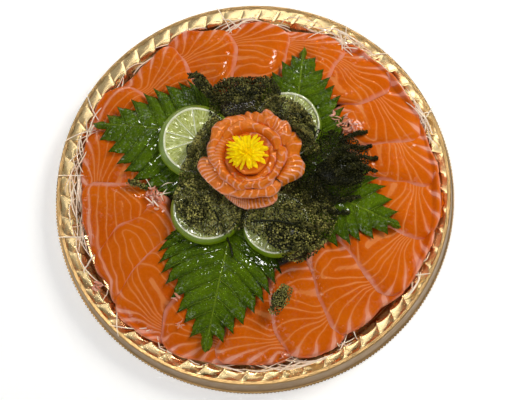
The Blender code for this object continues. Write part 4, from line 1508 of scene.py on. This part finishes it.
# Rings of strap petals: share of all straps, rise at the root and at the tip in degrees,
# length in mm, and how far from the middle they start in mm.
STRAP_RINGS = ((0.32, 4, -8, 13.4, 2.5), (0.28, 18, 4, 11.6, 2.2), (0.26, 36, 22, 9.4, 1.8),
               (0.22, 56, 42, 7.4, 1.2), (0.20, 78, 68, 5.6, 0.6))


def build_flower(given):
    """The yellow flower of many strap petals."""
    random = np.random.default_rng(21)
    base_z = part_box("chrysanthemum")[0].z + 1.2 * MM
    centre = node_centre("chrysanthemum")
    heap = Heap()
    steps = 9
    for ring, (part, rise, tip_rise, length, start) in enumerate(STRAP_RINGS):
        number = round(part * given.straps * 1.3)
        for index in range(number):
            turn = 2 * math.pi * (index + 0.5 * (ring % 2) + random.uniform(-0.2, 0.2)) / number
            size = random.uniform(0.86, 1.06)
            angles = np.radians(np.linspace(rise, tip_rise, steps) + random.normal(0.0, 4.0))
            step = length * size * MM / (steps - 1)
            out = start * MM + np.concatenate([[0], np.cumsum(np.cos(angles[:-1]) * step)])
            up = np.concatenate([[0], np.cumsum(np.sin(angles[:-1]) * step)])
            share = np.linspace(0.0, 1.0, steps)
            width = (0.55 + 0.75 * share ** 0.8) * MM * np.sqrt(
                np.clip(1.0 - ((share - 0.80).clip(0) / 0.205) ** 2, 0.0, 1.0))
            turning = turn + random.normal(0.0, 0.10) * share
            direction = np.stack([np.cos(turning), np.sin(turning)], -1)
            cross = np.stack([-np.sin(turning), np.cos(turning)], -1)
            rows = []
            for lane, cup in ((-1, 0.34), (0, 0.0), (1, 0.34), (0, -0.32)):
                flat = centre[:2] + direction * out[:, None] + cross * (lane * width)[:, None]
                rise_here = base_z + up + cup * MM * (1.0 - share ** 3 * 0.5)
                rows.append(np.column_stack([flat, rise_here]))
            grid = np.stack(rows, 1)
            ids = np.arange(steps * 4).reshape(steps, 4)
            walls = quads(np.hstack([ids, ids[:, :1]]))
            faces = walls.tolist() + [ids[0].tolist(), ids[-1][::-1].tolist()]
            tone = random.uniform(0.0, 1.0)
            tones = np.stack([np.repeat(share, 4), np.full(steps * 4, tone)], -1)
            heap.add(grid.reshape(-1, 3), faces, tones)
    button, faces = ball(24, 12)
    spots = button * np.array((3.2, 3.2, 2.4)) * MM + (*centre[:2], base_z + 1.8 * MM)
    heap.add(spots, faces, (0.2, 0.5))
    # The petals glow a little through emission of their own colour: painted light that lifts their
    # shade.
    material, tree, shader = new_material("yellow_petals", given.yellow, 0.55,
                                          Subsurface_Weight=0.5, Subsurface_Scale=0.004,
                                          Subsurface_Radius=(1.0, 0.8, 0.1),
                                          Specular_IOR_Level=0.1, Emission_Strength=0.16)
    share, tone = map_values(tree, "Tone")
    colour = blend(tree, remap(tree, share, 0.0, 0.75), given.deep_yellow, given.yellow)
    colour = blend(tree, times(tree, tone, 0.35), colour, srgb(255, 226, 30))
    dress(shader, Base_Color=colour, Emission_Color=colour)
    bump(tree, shader, grain(tree, object_place(tree), 900.0, 3000.0, 0.3), 0.0002, 0.4)
    piece = heap.piece("strap_flower", [material])
    for vert in piece.data.vertices:
        vert.co.y = centre[1] + 0.8 * MM + (vert.co.y - centre[1]) * 0.88
    turn_outwards(piece)
    settle(piece, "flower", "chrysanthemum")


# ---------------- sea grapes

# Each heap: spacing of its beads in mm, darkest and lightest tone, its outline and its
# strands, both as plan points in mm from the plate's middle.
HEAP_LOOKS = (
    (1.3, 0, 0.45, ((-48, 84), (-38, 82), (-22, 64), (-28, 58), (-40, 70)),
     (((-47, 83), (-40, 80), (-33, 73), (-24, 62)), ((-42, 75), (-35, 69), (-27, 60)))),
    (1.3, 0, 0.5, ((-30, 44), (-31, 72), (-20, 80), (0, 80), (15, 78), (22, 66), (20, 50),
                     (8, 42), (-16, 42)),
     (((-27, 73), (-12, 79), (4, 78), (14, 75)), ((-26, 63), (-10, 59), (6, 60)),
      ((6, 78), (16, 71), (20, 62)))),
    (1.2, 0.1, 0.95, ((10, 60), (20, 57), (32, 51), (41, 42), (44, 30), (50, 20), (40, 16),
                      (30, 26), (18, 40), (8, 50)),
     (((12, 64), (24, 57), (36, 48), (46, 34)), ((30, 38), (40, 32), (50, 20)))),
    (1.35, 0, 0.13, ((30, -14), (34, 26), (50, 35), (62, 36), (76, 30), (84, 20), (84, 4),
                      (78, -8), (64, -18), (50, -22)),
     (((55, 10), (70, 22), (88, 26)), ((50, 18), (68, 32), (85, 37)),
      ((60, 0), (75, 6), (90, 4)), ((48, -8), (62, -16), (78, -14)),
      ((48, 26), (60, 38), (72, 44)), ((66, 12), (80, 14), (92, 17)),
      ((44, -14), (56, -24), (70, -26)))),
    (1.15, 0.1, 1, ((-24, 48), (-33, 42), (-40, 30), (-45, 16), (-52, 4), (-52, -4),
                      (-38, -8), (-30, 0), (-28, 20), (-22, 36)),
     (((-36, 34), (-42, 20), (-46, 8)),)),
    (1.15, 0.05, 1, ((-52, -2), (-55, -14), (-52, -26), (-44, -36), (-32, -42), (-18, -42),
                       (-8, -36), (-4, -22), (-12, -8), (-30, 0)),
     (((-90, 1), (-80, -3), (-70, -8), (-59, -13)), ((-52, -2), (-44, 2), (-36, -2)))),
    (1.2, 0, 0.9, ((-14, -18), (-12, -38), (-4, -36), (6, -44), (16, -50), (24, -60),
                     (34, -63), (46, -56), (56, -44), (62, -28), (54, -8), (46, 4),
                     (30, 6), (18, -8), (4, -18)),
     (((22, -20), (36, -22), (50, -24)), ((30, -52), (42, -54), (52, -48)),
      ((26, -34), (42, -36), (56, -34)), ((36, -8), (44, -18), (48, -30)))),
    (1.3, 0.35, 0.9, ((12, -96), (16, -84), (22, -76), (29, -80), (26, -90), (18, -98)),
     (((14, -94), (20, -87), (25, -79)),)),
)
# Bare dark stems that lie on the beads, as plan points in mm.
BARE_STEMS = (
    (6, ((-26, -24), (-20, -36), (-15, -48), (-13, -56))),
    (7, ((-8, -31), (6, -33), (18, -34), (32, -37))),
    (7, ((26, -12), (34, -16), (42, -24))),
)
TRIAL_SPOTS = 22000  # random places from which a heap's beads are picked
STRAND_PITCH = 0.00017  # length of strand for each bead
STRAND_TURN = 2.4  # radians from bead to bead round a strand


def make_grape_material(given):
    """Glossy translucent beads, from near black to olive."""
    material, tree, shader = new_material(
        "sea_grape_beads", given.grape_light, 0.3, Subsurface_Weight=0.1,
        Subsurface_Scale=0.001, Subsurface_Radius=(0.6, 1.0, 0.2), Coat_Weight=0.10,
        Coat_Roughness=0.05, Specular_IOR_Level=0.05)
    place = object_place(tree)
    tone, _ = map_values(tree, "Tone")
    colour = blend(tree, tone, given.grape_dark, given.grape_light)
    dress(shader, Base_Color=toned(tree, place, 130.0, colour, srgb(40, 44, 4), 0.45))
    bump(tree, shader, grain(tree, place, 1600.0, 4000.0, 0.2), 0.0001, 0.4)
    return material


def spread_spots(points, spacing, random):
    """Picks from some plan points so that no two are nearer than the spacing."""
    cells, kept = {}, []
    for index in random.permutation(len(points)):
        x, y = points[index, 0] / spacing, points[index, 1] / spacing
        a, b = int(math.floor(x)), int(math.floor(y))
        near = [spot for i in (-1, 0, 1) for j in (-1, 0, 1)
                for spot in cells.get((a + i, b + j), ())]
        if all((x - p) ** 2 + (y - q) ** 2 >= 1.0 for p, q in near):
            cells.setdefault((a, b), []).append((x, y))
            kept.append(index)
    return points[kept]


def inside_outline(points, outline):
    """Which plan points lie inside a closed outline."""
    inside = np.zeros(len(points), bool)
    for (ax, ay), (bx, by) in zip(outline, np.roll(outline, -1, 0)):
        crosses = (ay > points[:, 1]) != (by > points[:, 1])
        reach = (bx - ax) * (points[:, 1] - ay) / (by - ay + 1e-12) + ax
        inside ^= crosses & (points[:, 0] < reach)
    return inside


def draped(path, steps, trees, lift, window):
    """A plan path in mm as a smooth line that lies over some search trees.

    lift is its height over them in mm, and window is how many places share their heights.
    """
    line = rounded(np.array(path, float) * MM, steps)
    heights = []
    for x, y in line:
        hits = [surface(tree, x, y) for tree in trees]
        heights.append(max((hit.z for hit in hits if hit), default=0.02) + lift * MM)
    heights = np.pad(heights, window // 2, "edge")
    return np.column_stack([line, np.convolve(heights, np.ones(window) / window, "valid")])


def points_along(line, shares):
    """Points at some shares of the way along a line."""
    own = np.linspace(0.0, 1.0, len(line))
    return np.stack([np.interp(shares, own, column) for column in line.T], -1)


def build_sea_grapes(given):
    """Heaps of sea grapes: beads on stems over smaller dark cores."""
    material = make_grape_material(given)
    bead = ball(5, 4)
    support = node_tree(*["lime_slice_%d" % n for n in range(1, LIMES + 1)],
                        *["shiso_leaf_%d" % n for n in range(1, LEAVES + 1)],
                        *["salmon_slice_%02d" % n for n in range(1, SLICES + 1)],
                        "daikon_bed")
    for number in range(1, HEAPS + 1):
        random = np.random.default_rng(300 + number)
        name = "sea_grapes_%d" % number
        spacing, darkest, lightest, outline, strands = HEAP_LOOKS[number - 1]
        mesh = frame["nodes"][name].data
        tree = node_tree(name)
        heap = Heap()
        points, centre = node_points(name), node_centre(name)
        # The core takes the darkest bead tone: a dark sheet under the beads, painted shade for the
        # heap's inside.
        core = centre + (points - centre) * (0.72, 0.72, 0.62) - (0, 0, 0.8 * MM)
        core[:, 2] = np.maximum(core[:, 2], points[:, 2].min() + 0.1 * MM)
        heap.add(core, [list(face.vertices) for face in mesh.polygons], (0.0, 0.0))

        outline = np.array(outline, float) * MM
        low, high = outline.min(0), outline.max(0)
        wanted = random.uniform(low, high, (TRIAL_SPOTS, 2))
        wanted = wanted[inside_outline(wanted, outline)]
        spots, layers = [], []
        for layer in range(2):
            for x, y in spread_spots(wanted, spacing * MM * (1.0 + 0.25 * layer), random):
                hit = surface(tree, x, y)
                under = surface(support, x, y)
                ground = (under.z if under else 0.02) + 1.0 * MM
                if hit:
                    top = hit.z - 0.3 * MM
                else:
                    near, _, _, away = tree.find_nearest(Vector((x, y, centre[2])))
                    top = near.z + 0.5 * MM - 0.45 * away
                    top = max(top, ground + random.uniform(0.4, 1.8) * MM)
                top += random.normal(0, 0.45) * MM - 1.1 * MM * layer
                spots.append((x, y, max(top, ground)))
                layers.append(layer)
        paths = []
        stem_steps = np.linspace(0.0, 1.0, 24)
        for path in strands:
            line = draped(path, 10, (tree, support), 1.5, 7)
            paths.append(points_along(line, stem_steps))
            length = np.linalg.norm(np.diff(line, axis=0), axis=1).sum()
            count = int(length / STRAND_PITCH)
            at = np.sort(random.uniform(0.0, 1.0, count))
            middle = points_along(line, at)
            turn = np.arange(count) * STRAND_TURN
            reach = random.uniform(1.0, 2.5, count) * MM * (1.0 - 0.5 * at ** 4)
            along = np.gradient(middle, axis=0)
            along /= np.linalg.norm(along, axis=1, keepdims=True) + 1e-9
            across = np.cross(along, (0.0, 0.0, 1.0))
            over = np.cross(across, along)
            middle = middle + reach[:, None] * (across * np.cos(turn)[:, None]
                                                + over * np.sin(turn)[:, None])
            spots += middle.tolist()
            layers += [0] * count
        for owner, path in BARE_STEMS:
            if owner == number:
                line = draped(path, 8, (tree, support), 1.6, 9)
                paths.append(points_along(line, stem_steps))
        paths = np.array(paths)
        stems, faces = tubes(paths, np.full(paths.shape[:2], 0.75 * MM), 6)
        heap.add(stems, faces, (0.0, 0.0))
        spots, layers = np.array(spots), np.array(layers)
        sizes = given.bead * random.uniform(0.72, 1.18, (len(spots), 1))
        sizes = sizes * random.uniform(0.92, 1.08, (len(spots), 3))
        tones = darkest + (lightest - darkest) * random.uniform(0, 1, len(spots)) ** 1.4
        patch = 0.5 + 0.5 * drift(310 + number, 0.011, spots[:, 0], spots[:, 1])
        # Painted shade: beads of the lower layer, under the others, get half the tone and so are
        # darker.
        tones = tones * np.clip(patch + 0.35, 0.25, 1.1) * np.where(layers == 1, 0.5, 1.0)
        places, faces = strewn(bead, spots, sizes, random)
        tones = np.repeat(tones, len(bead[0]))
        heap.add(places, faces, tones[:, None])
        piece = heap.piece("beaded_" + name, [material])
        settle(piece, "sea_grape", name)


# ---------------- stage

# Bright and dark patches that glossy surfaces mirror: direction, cosines of the rim and of
# the full heart, and strength.
SKY_PATCHES = (
    ((-0.79, -0.08, 0.53), 0.93, 0.98, 3.3), ((-0.10, -0.70, 0.71), 0.88, 0.96, 1.6),
    ((-0.20, 0.88, 0.42), 0.85, 0.95, 0.9), ((0.49, 0.80, 0.35), 0.80, 0.95, -0.20),
    ((0.0, 0.27, 0.96), 0.62, 0.72, 1.4), ((0.0, 0.27, 0.96), 0.82, 0.91, -1.60),
    ((0.10, 0.50, 0.86), 0.992, 0.996, 40.0), ((-0.21, 0.27, 0.94), 0.996, 0.9985, 40.0))
CAMERA_AIM = Vector((0.0032, -0.0135, 0.02))
LAMP_SPOT = Vector((0.66, 0.48, 0.72))
LAMP_SIZE = 0.45
LAMP_POWER = 7.0  # watts
FLOOR_HALF = 3.0  # half the side of the floor


def build_stage(given):
    """The floor, the camera and the lamps."""
    scene = bpy.context.scene
    material, tree, shader = new_material("pale_floor", given.floor, 0.7,
                                          Emission_Strength=0.36)
    dress(shader, Emission_Color=(1.0, 1.0, 1.0),
          Base_Color=toned(tree, object_place(tree), 2.0, given.floor, srgb(248, 248, 248), 0.5))
    half = FLOOR_HALF
    floor = new_piece("floor", ((-half, -half, 0), (half, -half, 0), (half, half, 0),
                                (-half, half, 0)), [[0, 1, 2, 3]], [material])

    back = Vector((math.sin(given.azimuth) * math.cos(given.elevation),
                   -math.cos(given.azimuth) * math.cos(given.elevation),
                   math.sin(given.elevation)))
    up = Vector((0.0, 1.0, 0.0))
    up = (up - back * up.dot(back)).normalized()
    right = up.cross(back)
    data = bpy.data.cameras.new("camera")
    data.lens = given.lens
    data.sensor_width = 36.0
    data.clip_start = 0.01
    camera = bpy.data.objects.new("camera", data)
    frame_of_view = Matrix((right, up, back)).transposed().to_4x4()
    camera.matrix_world = (Matrix.Translation(CAMERA_AIM + back * given.distance)
                           @ frame_of_view)
    scene.collection.objects.link(camera)
    scene.camera = camera

    light = bpy.data.lights.new("key", "AREA")
    light.shape = "DISK"
    light.size = LAMP_SIZE
    light.energy = LAMP_POWER
    light.color = srgb(255, 250, 240)
    lamp = bpy.data.objects.new("key", light)
    lamp.location = LAMP_SPOT
    lamp.rotation_euler = (Vector((0, 0, 0.01)) - LAMP_SPOT).to_track_quat("-Z", "Y").to_euler()
    lamp.visible_glossy = False
    scene.collection.objects.link(lamp)
    world = bpy.data.worlds.new("studio")
    world.use_nodes = True
    tree = world.node_tree
    sky = tree.nodes["Background"]
    put(sky.inputs["Color"], (1.0, 1.0, 1.0))
    way = add(tree, "TexCoord").outputs["Generated"]
    parts = add(tree, "SeparateXYZ", Vector=way)
    height = remap(tree, parts.outputs[2], 0.2, 0.85, 0.70, 0.16)
    side = remap(tree, parts.outputs[0], -1.0, 1.0, 1.0, 0.8)

    def patch(spot, rim, heart, strength):
        """A round patch of sky about a direction; rim and heart are cosines."""
        facing = add(tree, "VectorMath", {"operation": "DOT_PRODUCT"})
        put(facing.inputs[0], way)
        put(facing.inputs[1], Vector(spot).normalized())
        return remap(tree, facing.outputs["Value"], rim, heart, 0.0, strength, True)

    soft = maths(tree, "ADD", times(tree, height, side),
                 patch((-0.66, -0.58, 0.48), 0.76, 0.93, 0.95))
    mirrored = given.dim_sky
    for spot, rim, heart, strength in SKY_PATCHES:
        mirrored = maths(tree, "ADD", mirrored, patch(spot, rim, heart, strength))
    glossy = add(tree, "LightPath").outputs["Is Glossy Ray"]
    soft = times(tree, soft, maths(tree, "SUBTRACT", 1.0, glossy))
    strength = maths(tree, "ADD", soft, times(tree, mirrored, glossy))
    put(sky.inputs["Strength"], times(tree, strength, given.sky))
    scene.world = world
    scene.view_settings.view_transform = "Standard"


# ---------------- operators and panel

class PLATE_OT_tray(bpy.types.Operator):
    """Build the gold tray"""
    bl_idname = "sashimi_plate.tray"
    bl_label = "Tray"

    def execute(self, context):
        build_tray(context.scene.plate_tray)
        return {"FINISHED"}


class PLATE_OT_radish(bpy.types.Operator):
    """Build the shredded radish"""
    bl_idname = "sashimi_plate.radish"
    bl_label = "Shredded Radish"

    def execute(self, context):
        build_radish(context.scene.plate_radish)
        return {"FINISHED"}


class PLATE_OT_slices(bpy.types.Operator):
    """Build the ring of salmon slices and the small strip"""
    bl_idname = "sashimi_plate.slices"
    bl_label = "Salmon Slices"

    def execute(self, context):
        build_slices(context.scene.plate_salmon)
        build_scrap(context.scene.plate_salmon)
        build_shreds(context.scene.plate_salmon)
        return {"FINISHED"}


class PLATE_OT_leaves(bpy.types.Operator):
    """Build the four toothed leaves"""
    bl_idname = "sashimi_plate.leaves"
    bl_label = "Leaves"

    def execute(self, context):
        build_leaves(context.scene.plate_greens)
        return {"FINISHED"}


class PLATE_OT_limes(bpy.types.Operator):
    """Build the lime slices"""
    bl_idname = "sashimi_plate.limes"
    bl_label = "Lime Slices"

    def execute(self, context):
        build_limes(context.scene.plate_lime)
        return {"FINISHED"}


class PLATE_OT_rose(bpy.types.Operator):
    """Build the salmon rose"""
    bl_idname = "sashimi_plate.rose"
    bl_label = "Salmon Rose"

    def execute(self, context):
        build_rose(context.scene.plate_salmon)
        return {"FINISHED"}


class PLATE_OT_flower(bpy.types.Operator):
    """Build the yellow flower"""
    bl_idname = "sashimi_plate.flower"
    bl_label = "Yellow Flower"

    def execute(self, context):
        build_flower(context.scene.plate_flower)
        return {"FINISHED"}


class PLATE_OT_sea_grapes(bpy.types.Operator):
    """Build the heaps of sea grapes"""
    bl_idname = "sashimi_plate.sea_grapes"
    bl_label = "Sea Grapes"

    def execute(self, context):
        build_sea_grapes(context.scene.plate_greens)
        return {"FINISHED"}


class PLATE_OT_stage(bpy.types.Operator):
    """Set up the floor, the camera and the lamps"""
    bl_idname = "sashimi_plate.stage"
    bl_label = "Stage"

    def execute(self, context):
        build_stage(context.scene.plate_stage)
        return {"FINISHED"}


OPERATORS = (PLATE_OT_tray, PLATE_OT_radish, PLATE_OT_slices, PLATE_OT_leaves, PLATE_OT_limes,
             PLATE_OT_rose, PLATE_OT_flower, PLATE_OT_sea_grapes, PLATE_OT_stage)
SETTINGS = {"plate_tray": TraySettings, "plate_salmon": SalmonSettings,
            "plate_greens": GreensSettings, "plate_lime": LimeSettings,
            "plate_flower": FlowerSettings, "plate_radish": RadishSettings,
            "plate_stage": StageSettings}


class PLATE_PT_panel(bpy.types.Panel):
    """Lists the steps and settings of the plate"""
    bl_label = "Sashimi Plate"
    bl_idname = "PLATE_PT_panel"
    bl_space_type = "VIEW_3D"
    bl_region_type = "UI"
    bl_category = "Sashimi Plate"

    def draw(self, context):
        for operator in OPERATORS:
            self.layout.operator(operator.bl_idname)
        for key, group in SETTINGS.items():
            box = self.layout.box()
            box.label(text=group.__doc__)
            for name in group.__annotations__:
                box.prop(getattr(context.scene, key), name)


def register():
    """Make the settings, operators and panel known."""
    for group in SETTINGS.values():
        bpy.utils.register_class(group)
    for item in OPERATORS + (PLATE_PT_panel,):
        bpy.utils.register_class(item)
    for key, group in SETTINGS.items():
        setattr(bpy.types.Scene, key, PointerProperty(type=group))


def unregister():
    """Take the settings, operators and panel away again."""
    for key in SETTINGS:
        delattr(bpy.types.Scene, key)
    for item in (PLATE_PT_panel,) + OPERATORS[::-1] + tuple(SETTINGS.values()):
        bpy.utils.unregister_class(item)


def main():
    """Build everything in order."""
    register()
    for make in (make_wet_group, make_grain_group, make_tone_group, make_band_group,
                 make_speck_group):
        make()
    steps = bpy.ops.sashimi_plate
    for step in (steps.tray, steps.radish, steps.slices, steps.leaves, steps.limes, steps.rose,
                 steps.flower, steps.sea_grapes, steps.stage):
        step()


if __name__ == "__main__":
    main()
